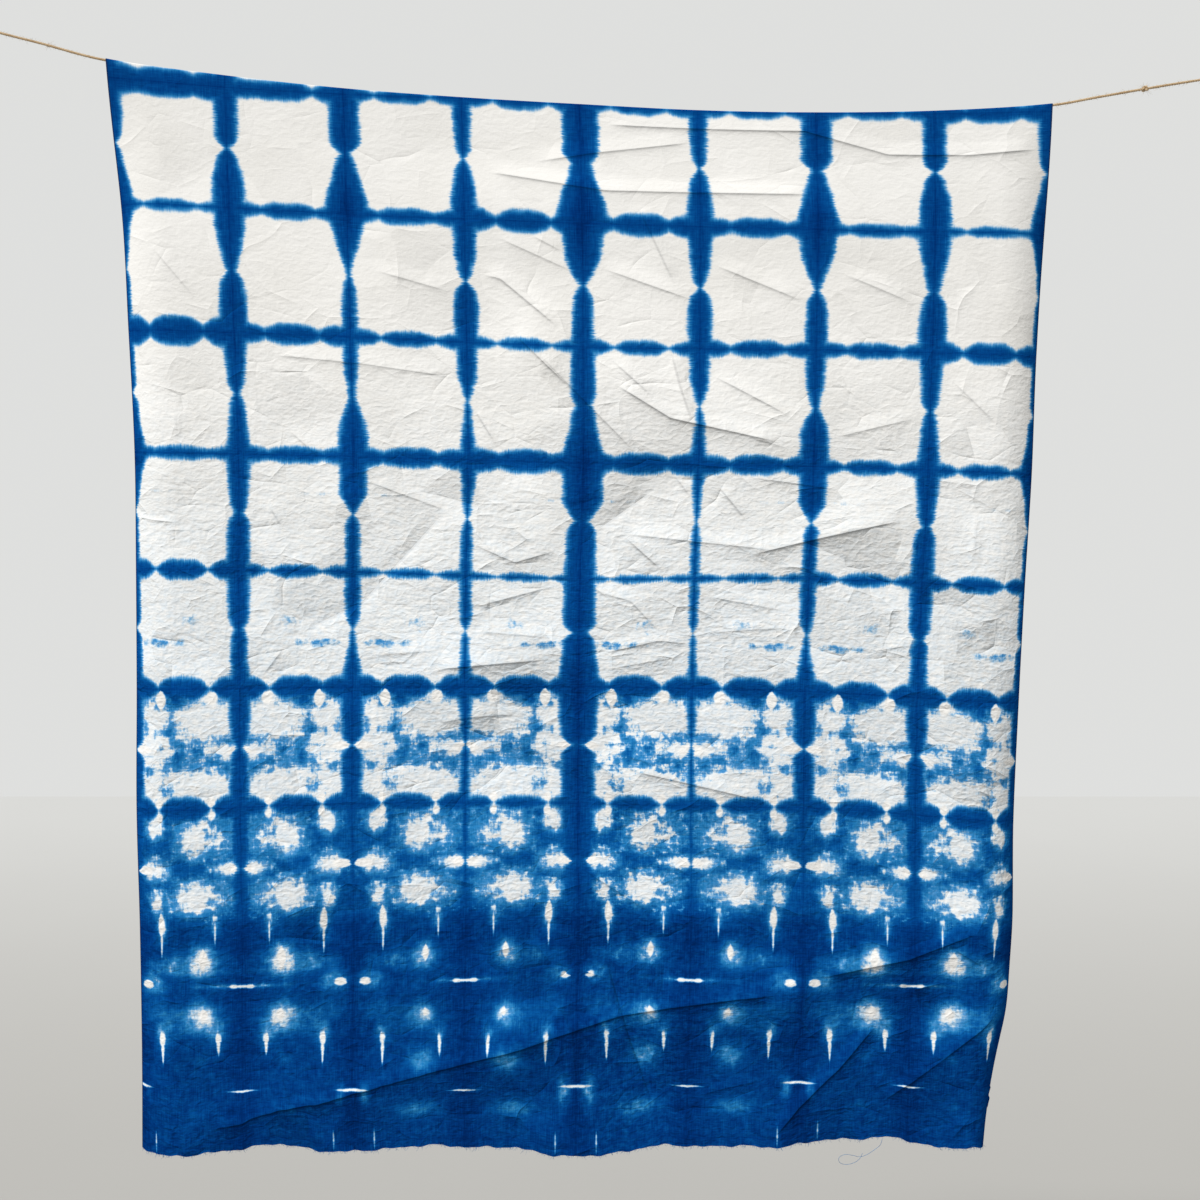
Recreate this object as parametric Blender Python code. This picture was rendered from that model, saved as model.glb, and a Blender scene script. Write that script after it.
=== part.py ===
"""Shibori dyed cotton cloth folded over a jute twine line.

Metres, +Z up, and the cloth's face looks along -Y. The tables measure from the place where
the cloth's middle column crosses the line: x to the right, z up. Everything is then moved so
that the twine's left eye, which a hook holds, is at the origin. Down the cloth, places are
also given in cells, the squares of the pleated grid it was folded in before dyeing: columns
run from -4 at the left selvedge to 4 at the right one, rows from 0 at the line.
"""

import math
from collections import namedtuple

import bmesh
import bpy
from mathutils import Vector

# Cloth
CELL = 0.14
HALF_WIDTH_CELLS = 4.0
CLOTH_THICKNESS = 0.0016
TURN_START_CELLS = 3.55
FRONT_HEM_ROW = 9.08
BACK_HEM_ROW = 8.75
FOLD_RAMP_ROWS = 0.8
COLUMN_STEPS = 28
ROW_STEPS = 30
ARC_STEPS = 6
SLOPE_STEP_CELLS = 0.01
LEAST_TURN = 1e-6

# Twine
TWINE_DIAMETER = 0.003
TWINE_GAP = 0.0004
TOUCH_GAP = 0.0003
LINE_SPAN_POINTS = 56
TAIL_POINTS = 9
EYE_POINTS = 22

# The folded cloth's middle surface goes round the twine at this radius.
FOLD_RADIUS = TWINE_DIAMETER / 2 + TWINE_GAP + CLOTH_THICKNESS / 2

# Knots, as barrels along the twine
KNOT_LENGTH = 0.009
KNOT_END_RADIUS = 0.0039
KNOT_BULGE = 0.0009
KNOT_LOBE = 0.0004
KNOT_SIDES = 10
KNOT_RINGS = 6
KNOT_SHARP_DEGREES = 50
LEFT_KNOT = (-0.704, 0.0855)
LINE_KNOT = (0.665, 0.0160)
RIGHT_KNOT = (0.751, 0.0295)
EYE_REACH = 0.024

# The twine's route, (x, z) at the middle of the cord, from the left knot to the line knot
LINE_ROUTE = (
    (-0.704, 0.0855),
    (-0.640, 0.0695),
    (-0.562, 0.0495),
    (-0.421, 0.0300),
    (-0.281, 0.0150),
    (-0.140, 0.0045),
    (0.000, -0.0035),
    (0.139, -0.0105),
    (0.278, -0.0130),
    (0.418, -0.0110),
    (0.554, -0.0030),
    (0.610, 0.0065),
    (0.665, 0.0160),
)
TAIL_ROUTE = (
    (0.665, 0.0160),
    (0.708, 0.0230),
    (0.751, 0.0295),
)

# One half of an eye: how far out from its knot, and how far to the side
EYE_HALF = (
    (0.0000, 0.0021),
    (0.0040, 0.0022),
    (0.0085, 0.0040),
    (0.0140, 0.0068),
    (0.0210, 0.0082),
    (0.0285, 0.0076),
    (0.0340, 0.0046),
)
EYE_TIP = (0.0362, 0.0)

# The cloth at each pleat line: the middle column's x, the width of a cell there, the height at
# five columns, and the angle through which each side's last strip turns back.
Section = namedtuple(
    "Section", "row middle cell left quarter centre three_quarter right left_turn right_turn"
)
STATION_COLUMNS = (-4, -2, 0, 2, 4)
SECTIONS = (
    Section(1, 0.001, 0.1395, -0.115, -0.130, -0.142, -0.149, -0.152, 0.66, 0.62),
    Section(2, 0.002, 0.1385, -0.264, -0.274, -0.287, -0.290, -0.296, 0.70, 0.78),
    Section(3, 0.002, 0.1375, -0.410, -0.416, -0.424, -0.428, -0.437, 0.72, 0.74),
    Section(4, -0.002, 0.1370, -0.550, -0.554, -0.562, -0.562, -0.574, 0.76, 0.74),
    Section(5, -0.004, 0.1365, -0.697, -0.693, -0.692, -0.698, -0.715, 0.68, 0.78),
    Section(6, -0.005, 0.1365, -0.847, -0.834, -0.834, -0.839, -0.861, 0.60, 0.90),
    Section(7, -0.004, 0.1365, -0.996, -0.981, -0.973, -0.984, -1.002, 0.62, 0.92),
    Section(8, -0.007, 0.1365, -1.131, -1.123, -1.118, -1.122, -1.130, 0.72, 1.20),
)

# The same at the line, where nothing turns back, and at the hem
LINE_MIDDLE = -0.002
LINE_CELL = 0.1395
HEM_MIDDLE = -0.008
HEM_CELL = 0.1365
HEM_LEFT_TURN = 0.64
HEM_RIGHT_TURN = 2.35

# The front hem: (column, height)
HEM = (
    (-4.0, -1.275),
    (-3.5, -1.275),
    (-3.1, -1.267),
    (-2.7, -1.262),
    (-2.1, -1.270),
    (-1.5, -1.261),
    (-0.6, -1.263),
    (0.05, -1.275),
    (0.7, -1.263),
    (1.7, -1.262),
    (2.8, -1.255),
    (3.2, -1.265),
    (4.0, -1.275),
)

# Folds and creases: from one place to another in (column, row), how far each stands towards
# the viewer, and how far it reaches to each side.
Fold = namedtuple("Fold", "start end height reach")
FOLDS = (
    Fold((-3.3, 8.85), (-0.55, 8.10), 0.009, 0.045),
    Fold((-0.55, 8.10), (1.80, 7.60), 0.008, 0.042),
    Fold((2.15, 7.45), (3.60, 6.95), 0.006, 0.040),
    Fold((1.90, 7.70), (2.40, 8.35), 0.006, 0.040),
    Fold((2.40, 8.35), (1.80, 9.00), 0.007, 0.042),
    Fold((2.75, 8.70), (3.80, 7.75), 0.007, 0.042),
    Fold((0.25, 7.35), (0.70, 8.70), -0.006, 0.045),
    Fold((-0.40, 2.05), (0.45, 2.90), 0.006, 0.042),
    Fold((0.25, 2.30), (1.70, 2.80), 0.006, 0.042),
    Fold((0.65, 3.20), (0.10, 3.60), -0.005, 0.045),
    Fold((1.45, 3.80), (2.80, 3.45), 0.005, 0.042),
    Fold((-0.80, 0.85), (1.95, 0.95), 0.004, 0.045),
    Fold((-1.20, 3.45), (-2.40, 4.50), -0.005, 0.050),
    Fold((-1.30, 4.85), (-0.25, 4.75), 0.005, 0.042),
    Fold((0.45, 5.70), (1.65, 5.95), 0.006, 0.045),
    Fold((-0.95, 5.55), (0.10, 5.90), -0.005, 0.045),
)

# Broad swells of the hanging panel: the middle in (column, row), the height and the reach
Swell = namedtuple("Swell", "centre height reach")
SWELLS = (
    Swell((-1.6, 7.4), 0.012, 0.26),
    Swell((1.2, 6.6), 0.009, 0.24),
    Swell((2.9, 8.6), -0.010, 0.16),
    Swell((-2.8, 8.9), -0.008, 0.14),
    Swell((0.4, 3.2), 0.008, 0.28),
)


def slope(points, index):
    """Slope of the smooth curve at one of its points."""
    before = points[max(index - 1, 0)]
    after = points[min(index + 1, len(points) - 1)]
    return (after[1] - before[1]) / (after[0] - before[0])


def curve_value(points, at):
    """Value at a place of the smooth curve through (place, value) pairs."""
    index = 0
    while index < len(points) - 2 and at > points[index + 1][0]:
        index += 1
    start, value = points[index]
    end, next_value = points[index + 1]
    span = end - start
    share = (at - start) / span
    from_start = value * (1 + 2 * share) + slope(points, index) * span * share
    to_end = next_value * (3 - 2 * share) - slope(points, index + 1) * span * (1 - share)
    return from_start * (1 - share) ** 2 + to_end * share**2


def smoothstep(share):
    """Eases from 0 to 1 as a share does."""
    share = min(max(share, 0.0), 1.0)
    return share * share * (3 - 2 * share)


def distance_to_segment(place, start, end):
    """Distance in metres from a place to a fold's line, all three in cells."""
    along = Vector(end) - Vector(start)
    offset = Vector(place) - Vector(start)
    share = min(max(offset.dot(along) / along.length_squared, 0.0), 1.0)
    return (offset - along * share).length * CELL


def relief(column, row):
    """How far the cloth stands towards the viewer at a place in cells."""
    total = 0.0
    for fold in FOLDS:
        away = distance_to_segment((column, row), fold.start, fold.end)
        total += fold.height * math.exp(-((away / fold.reach) ** 2))
    for swell in SWELLS:
        away = (Vector((column, row)) - Vector(swell.centre)).length * CELL
        total += swell.height * math.exp(-((away / swell.reach) ** 2))
    return total * smoothstep(row / FOLD_RAMP_ROWS)


def down_rows(first, pick, last):
    """(row, value) pairs down the cloth: at the line, at each section and at the hem."""
    pairs = [(0, first)]
    pairs += [(section.row, pick(section)) for section in SECTIONS]
    pairs.append((FRONT_HEM_ROW, last))
    return pairs


def height_across(section, column):
    """Height of one pleat line at a column."""
    stations = (section.left, section.quarter, section.centre, section.three_quarter, section.right)
    return curve_value(tuple(zip(STATION_COLUMNS, stations)), column)


def front_point(column, row):
    """A point of the front panel's middle surface."""
    middle = curve_value(down_rows(LINE_MIDDLE, lambda s: s.middle, HEM_MIDDLE), row)
    cell = curve_value(down_rows(LINE_CELL, lambda s: s.cell, HEM_CELL), row)
    if column < 0:
        turns = down_rows(0.0, lambda s: s.left_turn, HEM_LEFT_TURN)
    else:
        turns = down_rows(0.0, lambda s: s.right_turn, HEM_RIGHT_TURN)
    turn = max(curve_value(turns, row), 0.0)

    flat = min(abs(column), TURN_START_CELLS) * cell
    strip = max(abs(column) - TURN_START_CELLS, 0.0) * cell
    angle = turn * strip / ((HALF_WIDTH_CELLS - TURN_START_CELLS) * cell)
    back = 0.0
    if angle > LEAST_TURN:
        flat += strip * math.sin(angle) / angle
        back = strip * (1 - math.cos(angle)) / angle
    else:
        flat += strip
    x = middle + math.copysign(flat, column)

    at_line = curve_value(LINE_ROUTE, LINE_MIDDLE + column * LINE_CELL)
    heights = down_rows(at_line, lambda s: height_across(s, column), curve_value(HEM, column))
    return Vector((x, back - FOLD_RADIUS - relief(column, row), curve_value(heights, row)))


def surface_frame(column, row):
    """A front point with the unit vectors away from the viewer and up the cloth."""
    step = SLOPE_STEP_CELLS
    across = front_point(column + step, row) - front_point(column - step, row)
    up = front_point(column, max(row - step, 0.0)) - front_point(column, row + step)
    away = up.cross(across).normalized()
    if away.y < 0:
        away.negate()
    return front_point(column, row), away, up.normalized()


def cloth_strip(column):
    """One strip of the cloth from the front hem, over the line, to the back hem."""
    points = []
    for step in range(ROW_STEPS, 0, -1):
        points.append(front_point(column, FRONT_HEM_ROW * step / ROW_STEPS))
    point, away, up = surface_frame(column, 0.0)
    middle = point + away * FOLD_RADIUS
    for step in range(ARC_STEPS + 1):
        angle = math.pi * step / ARC_STEPS
        turned = up * math.sin(angle) - away * math.cos(angle)
        points.append(middle + turned * FOLD_RADIUS)
    for step in range(1, ROW_STEPS + 1):
        point, away, up = surface_frame(column, BACK_HEM_ROW * step / ROW_STEPS)
        points.append(point + away * 2 * FOLD_RADIUS)
    return points


def plain_material(name, colour, roughness):
    """A matt Principled material."""
    material = bpy.data.materials.new(name)
    material.use_nodes = True
    shader = material.node_tree.nodes["Principled BSDF"]
    shader.inputs["Base Color"].default_value = (*colour, 1.0)
    shader.inputs["Roughness"].default_value = roughness
    shader.inputs["Metallic"].default_value = 0.0
    material.diffuse_color = (*colour, 1.0)
    return material


def place(name, data, material, origin):
    """Puts a mesh or curve in the scene under the left eye's empty."""
    item = bpy.data.objects.new(name, data)
    data.materials.append(material)
    bpy.context.scene.collection.objects.link(item)
    item.parent = origin
    return item


def make_cloth(material, origin):
    """The whole cloth, one sheet folded over the line."""
    strips = []
    for step in range(COLUMN_STEPS + 1):
        column = HALF_WIDTH_CELLS * (2 * step / COLUMN_STEPS - 1)
        strips.append(cloth_strip(column))
    mesh = bmesh.new()
    grid = [[mesh.verts.new(point) for point in strip] for strip in strips]
    for left, right in zip(grid, grid[1:]):
        for lower in range(len(left) - 1):
            mesh.faces.new((left[lower], right[lower], right[lower + 1], left[lower + 1]))
    data = bpy.data.meshes.new("cloth")
    mesh.to_mesh(data)
    mesh.free()
    data.shade_smooth()
    cloth = place("cloth", data, material, origin)
    thicken = cloth.modifiers.new("thickness", "SOLIDIFY")
    thicken.thickness = CLOTH_THICKNESS
    thicken.offset = 0.0
    thicken.use_even_offset = True
    return cloth


def smooth_route(route, count, start_gap=0.0, end_gap=0.0):
    """Even points along the smooth curve through a route, less a gap at each end."""
    places = [Vector((x, 0.0, z)) for x, z in route]
    travelled = [0.0]
    for before, after in zip(places, places[1:]):
        travelled.append(travelled[-1] + (after - before).length)
    across = [(s, p.x) for s, p in zip(travelled, places)]
    upward = [(s, p.z) for s, p in zip(travelled, places)]
    first = start_gap
    last = travelled[-1] - end_gap
    points = []
    for step in range(count):
        s = first + (last - first) * step / (count - 1)
        points.append(Vector((curve_value(across, s), 0.0, curve_value(upward, s))))
    return points


def make_tube(name, points, material, origin):
    """A length of twine as a round tube with filled ends."""
    curve = bpy.data.curves.new(name, "CURVE")
    curve.dimensions = "3D"
    curve.bevel_depth = TWINE_DIAMETER / 2
    curve.bevel_resolution = 2
    curve.use_fill_caps = True
    spline = curve.splines.new("POLY")
    spline.points.add(len(points) - 1)
    for target, point in zip(spline.points, points):
        target.co = (*point, 1.0)
    return place(name, curve, material, origin)


def route_direction(route, index):
    """Unit direction of a route as it leaves one of its ends."""
    x0, z0 = route[index]
    x1, z1 = route[index + 1]
    return Vector((x1 - x0, 0.0, z1 - z0)).normalized()


def make_knot(name, centre, along, material, origin):
    """A pulled overhand knot: a barrel with flat ends and two low winding lobes."""
    side = Vector((0.0, 1.0, 0.0))
    up = side.cross(along)
    middle = Vector((centre[0], 0.0, centre[1]))
    mesh = bmesh.new()
    rings = []
    for ring_step in range(KNOT_RINGS + 1):
        share = ring_step / KNOT_RINGS
        swell = math.sin(math.pi * share)
        ring = []
        for side_step in range(KNOT_SIDES):
            angle = 2 * math.pi * side_step / KNOT_SIDES
            lobe = KNOT_LOBE * swell * math.sin(2 * angle + 2 * math.pi * share)
            radius = KNOT_END_RADIUS + KNOT_BULGE * swell + lobe
            outward = side * math.cos(angle) + up * math.sin(angle)
            point = middle + along * KNOT_LENGTH * (share - 0.5) + outward * radius
            ring.append(mesh.verts.new(point))
        rings.append(ring)
    for before, after in zip(rings, rings[1:]):
        for i in range(KNOT_SIDES):
            j = (i + 1) % KNOT_SIDES
            mesh.faces.new((before[i], before[j], after[j], after[i]))
    mesh.faces.new(rings[0])
    mesh.faces.new(rings[-1])
    bmesh.ops.recalc_face_normals(mesh, faces=mesh.faces)
    data = bpy.data.meshes.new(name)
    mesh.to_mesh(data)
    mesh.free()
    data.shade_smooth()
    data.set_sharp_from_angle(angle=math.radians(KNOT_SHARP_DEGREES))
    return place(name, data, material, origin)


def make_eye(name, knot, outward, material, origin):
    """The twine's end loop, out from its knot and back to it."""
    up = Vector((-outward.z, 0.0, outward.x))
    start = Vector((knot[0], 0.0, knot[1])) + outward * (KNOT_LENGTH / 2 + TOUCH_GAP)
    outline = [*EYE_HALF, EYE_TIP]
    outline += [(out, -aside) for out, aside in reversed(EYE_HALF)]
    loop = smooth_route(outline, EYE_POINTS)
    points = [start + outward * p.x + up * p.z for p in loop]
    return make_tube(name, points, material, origin)


def eye_centre(knot, outward):
    """The middle of an eye, where a hook goes through it."""
    return Vector((knot[0], 0.0, knot[1])) + outward * EYE_REACH


def main():
    for item in list(bpy.data.objects):
        bpy.data.objects.remove(item, do_unlink=True)

    cotton = plain_material("indigo_cotton", (0.055, 0.18, 0.42), 0.85)
    jute = plain_material("jute", (0.55, 0.40, 0.24), 0.9)

    left_out = -route_direction(LINE_ROUTE, 0)
    at_line_knot = route_direction(TAIL_ROUTE, 0)
    right_out = route_direction(TAIL_ROUTE, 1)

    origin = bpy.data.objects.new("left_eye_centre", None)
    bpy.context.scene.collection.objects.link(origin)
    origin.location = -eye_centre(LEFT_KNOT, left_out)

    make_cloth(cotton, origin)

    gap = KNOT_LENGTH / 2 + TOUCH_GAP
    make_tube("line", smooth_route(LINE_ROUTE, LINE_SPAN_POINTS, gap, gap), jute, origin)
    make_tube("line_tail", smooth_route(TAIL_ROUTE, TAIL_POINTS, gap, gap), jute, origin)
    make_knot("line_knot", LINE_KNOT, at_line_knot, jute, origin)
    make_knot("left_knot", LEFT_KNOT, left_out, jute, origin)
    make_knot("right_knot", RIGHT_KNOT, right_out, jute, origin)
    make_eye("left_eye", LEFT_KNOT, left_out, jute, origin)
    make_eye("right_eye", RIGHT_KNOT, right_out, jute, origin)
    bpy.context.view_layer.update()


main()
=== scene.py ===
"""Shibori dyed cotton cloth, folded over a jute twine line that is tied at both ends.

Metres, +Z up, and the cloth's face looks along -Y. The tables measure from the place where
the cloth's middle column crosses the line: x to the right, z up. The twine's left eye, which
a hook holds, is at the origin, so every table is moved by the same step. Places on the cloth
are given in cells, the squares of the pleated grid in which it was folded and clamped before
dyeing: columns run from -4 at the left selvedge to 4 at the right one, rows from 0 at the
line down to the hem.
"""

import logging
import math
import random
from collections.abc import Iterator
from dataclasses import dataclass, field
from enum import Enum
from typing import NamedTuple

import bpy
import numpy as np
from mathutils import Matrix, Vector


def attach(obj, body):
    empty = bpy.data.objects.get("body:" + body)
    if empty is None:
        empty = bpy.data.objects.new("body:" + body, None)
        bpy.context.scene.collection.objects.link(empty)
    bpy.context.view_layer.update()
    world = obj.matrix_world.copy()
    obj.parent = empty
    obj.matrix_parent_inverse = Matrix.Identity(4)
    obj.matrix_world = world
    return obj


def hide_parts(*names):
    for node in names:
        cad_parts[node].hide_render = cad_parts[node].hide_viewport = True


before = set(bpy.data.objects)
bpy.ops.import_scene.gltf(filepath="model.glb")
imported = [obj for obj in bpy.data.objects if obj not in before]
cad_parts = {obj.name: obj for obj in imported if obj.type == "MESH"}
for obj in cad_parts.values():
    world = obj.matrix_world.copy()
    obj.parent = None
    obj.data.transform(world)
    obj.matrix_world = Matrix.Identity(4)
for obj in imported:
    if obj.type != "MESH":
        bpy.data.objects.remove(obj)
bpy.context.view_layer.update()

log = logging.getLogger("dyed_cloth")

Point = tuple[float, float]
Triple = tuple[float, float, float]
Number = float | np.ndarray

CELL = 0.14
# Turns a full size in millimetres into half of it in cells
HALF_MILLIMETRE = 0.0005 / CELL
KNOT_LENGTH = 0.009
BACKWARD = Vector((0.0, 1.0, 0.0))

LEFT_KNOT = (-0.704, 0.0855)
LINE_KNOT = (0.665, 0.0160)
RIGHT_KNOT = (0.751, 0.0295)
EYE_REACH = 0.024

LINE_ROUTE = (
    (-0.704, 0.0855),
    (-0.640, 0.0695),
    (-0.562, 0.0495),
    (-0.421, 0.0300),
    (-0.281, 0.0150),
    (-0.140, 0.0045),
    (0.000, -0.0035),
    (0.139, -0.0105),
    (0.278, -0.0130),
    (0.418, -0.0110),
    (0.554, -0.0030),
    (0.610, 0.0065),
    (0.665, 0.0160),
)
TAIL_ROUTE = (
    (0.665, 0.0160),
    (0.708, 0.0230),
    (0.751, 0.0295),
)


def in_line(place: Point) -> Vector:
    """A place (x, z) in the upright plane of the line."""
    return Vector((place[0], 0.0, place[1]))


def direction(start: Point, end: Point) -> Vector:
    """Unit direction from one (x, z) place to another."""
    return Vector((end[0] - start[0], 0.0, end[1] - start[1])).normalized()


LEFT_OUT = -direction(LINE_ROUTE[0], LINE_ROUTE[1])
RIGHT_OUT = direction(TAIL_ROUTE[1], TAIL_ROUTE[2])
SHIFT = -(in_line(LEFT_KNOT) + LEFT_OUT * EYE_REACH)


def ease(share: np.ndarray) -> np.ndarray:
    """Eases from 0 to 1 as a share does."""
    share = np.clip(share, 0.0, 1.0)
    return share * share * (3 - 2 * share)


def smooth_values(places: list[float], values: np.ndarray, at: np.ndarray) -> np.ndarray:
    """Values of the smooth curve through points.

    Args:
        places: Where the points are, rising.
        values: What is there, one row for each place.
        at: Where values are wanted.

    Returns:
        One row for each place wanted.
    """
    x = np.asarray(places, dtype=float)
    y = np.asarray(values, dtype=float)
    at = np.asarray(at, dtype=float)
    count = len(x)
    wide = (1,) * (y.ndim - 1)
    before = np.maximum(np.arange(count) - 1, 0)
    after = np.minimum(np.arange(count) + 1, count - 1)
    slopes = (y[after] - y[before]) / (x[after] - x[before]).reshape(-1, *wide)
    index = np.clip(np.searchsorted(x, at, side="left") - 1, 0, count - 2)
    span = (x[index + 1] - x[index]).reshape(*at.shape, *wide)
    share = ((at - x[index]) / (x[index + 1] - x[index])).reshape(*at.shape, *wide)
    from_start = y[index] * (1 + 2 * share) + slopes[index] * span * share
    to_end = y[index + 1] * (3 - 2 * share) - slopes[index + 1] * span * (1 - share)
    return from_start * (1 - share) ** 2 + to_end * share**2


def straight_values(pairs: tuple[Point, ...], at: np.ndarray) -> np.ndarray:
    """Values of the straight line through (place, value) pairs."""
    return np.interp(at, [place for place, _ in pairs], [value for _, value in pairs])


def from_even_column(columns: np.ndarray) -> np.ndarray:
    """Distance in cells from the nearest even column, so 1 is an odd column."""
    return np.abs(np.mod(columns + 1.0, 2.0) - 1.0)


def distance_to_line(
    columns: np.ndarray, rows: np.ndarray, start: Point, end: Point
) -> tuple[np.ndarray, np.ndarray, np.ndarray]:
    """Distance from places in cells to a straight line between two of them.

    Args:
        columns: The places' columns.
        rows: The places' rows.
        start: One end of the line.
        end: The other end.

    Returns:
        The distance in metres, the side (1 above the line), and the share of the way along.
    """
    along_column = end[0] - start[0]
    along_row = end[1] - start[1]
    off_column = columns - start[0]
    off_row = rows - start[1]
    share = (off_column * along_column + off_row * along_row) / (along_column**2 + along_row**2)
    share = np.clip(share, 0.0, 1.0)
    away = np.hypot(off_column - along_column * share, off_row - along_row * share) * CELL
    cross = off_column * along_row - off_row * along_column
    rightward = 1.0 if along_column >= 0 else -1.0
    return away, np.where(cross * rightward >= 0, 1.0, -1.0), share


class Section(NamedTuple):
    """One pleat line: middle's x, cell width, five heights and the sides' turns."""

    row: float
    middle: float
    cell: float
    heights: tuple[float, float, float, float, float]
    left_turn: float
    right_turn: float


class Fold(NamedTuple):
    """A soft fold between two places in cells, towards the viewer, and its reach."""

    start: Point
    end: Point
    height: float
    reach: float


class Swell(NamedTuple):
    """A broad swell of the panel around a place in cells."""

    centre: Point
    height: float
    reach: float


class Crease(NamedTuple):
    """A sharp crease along places in cells, and its share of the full depth."""

    line: tuple[Point, ...]
    depth: float


SECTIONS = (
    Section(1, 0.001, 0.1395, (-0.115, -0.130, -0.142, -0.149, -0.152), 0.66, 0.62),
    Section(2, 0.002, 0.1385, (-0.264, -0.274, -0.287, -0.290, -0.296), 0.70, 0.78),
    Section(3, 0.002, 0.1375, (-0.410, -0.416, -0.424, -0.428, -0.437), 0.72, 0.74),
    Section(4, -0.002, 0.1370, (-0.550, -0.554, -0.562, -0.562, -0.574), 0.76, 0.74),
    Section(5, -0.004, 0.1365, (-0.697, -0.693, -0.692, -0.698, -0.715), 0.68, 0.78),
    Section(6, -0.005, 0.1365, (-0.847, -0.834, -0.834, -0.839, -0.861), 0.60, 0.90),
    Section(7, -0.004, 0.1365, (-0.996, -0.981, -0.973, -0.984, -1.002), 0.62, 0.92),
    Section(8, -0.007, 0.1365, (-1.131, -1.123, -1.118, -1.122, -1.130), 0.72, 1.20),
)
HEM = (
    (-4.0, -1.275),
    (-3.5, -1.275),
    (-3.1, -1.267),
    (-2.7, -1.262),
    (-2.1, -1.270),
    (-1.5, -1.261),
    (-0.6, -1.263),
    (0.05, -1.275),
    (0.7, -1.263),
    (1.7, -1.262),
    (2.8, -1.255),
    (3.2, -1.265),
    (4.0, -1.275),
)
FOLDS = (
    Fold((-3.3, 8.85), (-0.55, 8.10), 0.009, 0.045),
    Fold((-0.55, 8.10), (1.80, 7.60), 0.008, 0.042),
    Fold((2.15, 7.45), (3.60, 6.95), 0.006, 0.040),
    Fold((1.90, 7.70), (2.40, 8.35), 0.006, 0.040),
    Fold((2.40, 8.35), (1.80, 9.00), 0.007, 0.042),
    Fold((2.75, 8.70), (3.80, 7.75), 0.007, 0.042),
    Fold((0.25, 7.35), (0.70, 8.70), -0.006, 0.045),
    Fold((-0.40, 2.05), (0.45, 2.90), 0.006, 0.042),
    Fold((0.25, 2.30), (1.70, 2.80), 0.006, 0.042),
    Fold((0.65, 3.20), (0.10, 3.60), -0.005, 0.045),
    Fold((1.45, 3.80), (2.80, 3.45), 0.005, 0.042),
    Fold((-0.80, 0.85), (1.95, 0.95), 0.004, 0.045),
    Fold((-1.20, 3.45), (-2.40, 4.50), -0.005, 0.050),
    Fold((-1.30, 4.85), (-0.25, 4.75), 0.005, 0.042),
    Fold((0.45, 5.70), (1.65, 5.95), 0.006, 0.045),
    Fold((-0.95, 5.55), (0.10, 5.90), -0.005, 0.045),
)
SWELLS = (
    Swell((-1.6, 7.4), 0.012, 0.26),
    Swell((1.2, 6.6), 0.009, 0.24),
    Swell((2.9, 8.6), -0.010, 0.16),
    Swell((-2.8, 8.9), -0.008, 0.14),
    Swell((0.4, 3.2), 0.008, 0.28),
)

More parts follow.
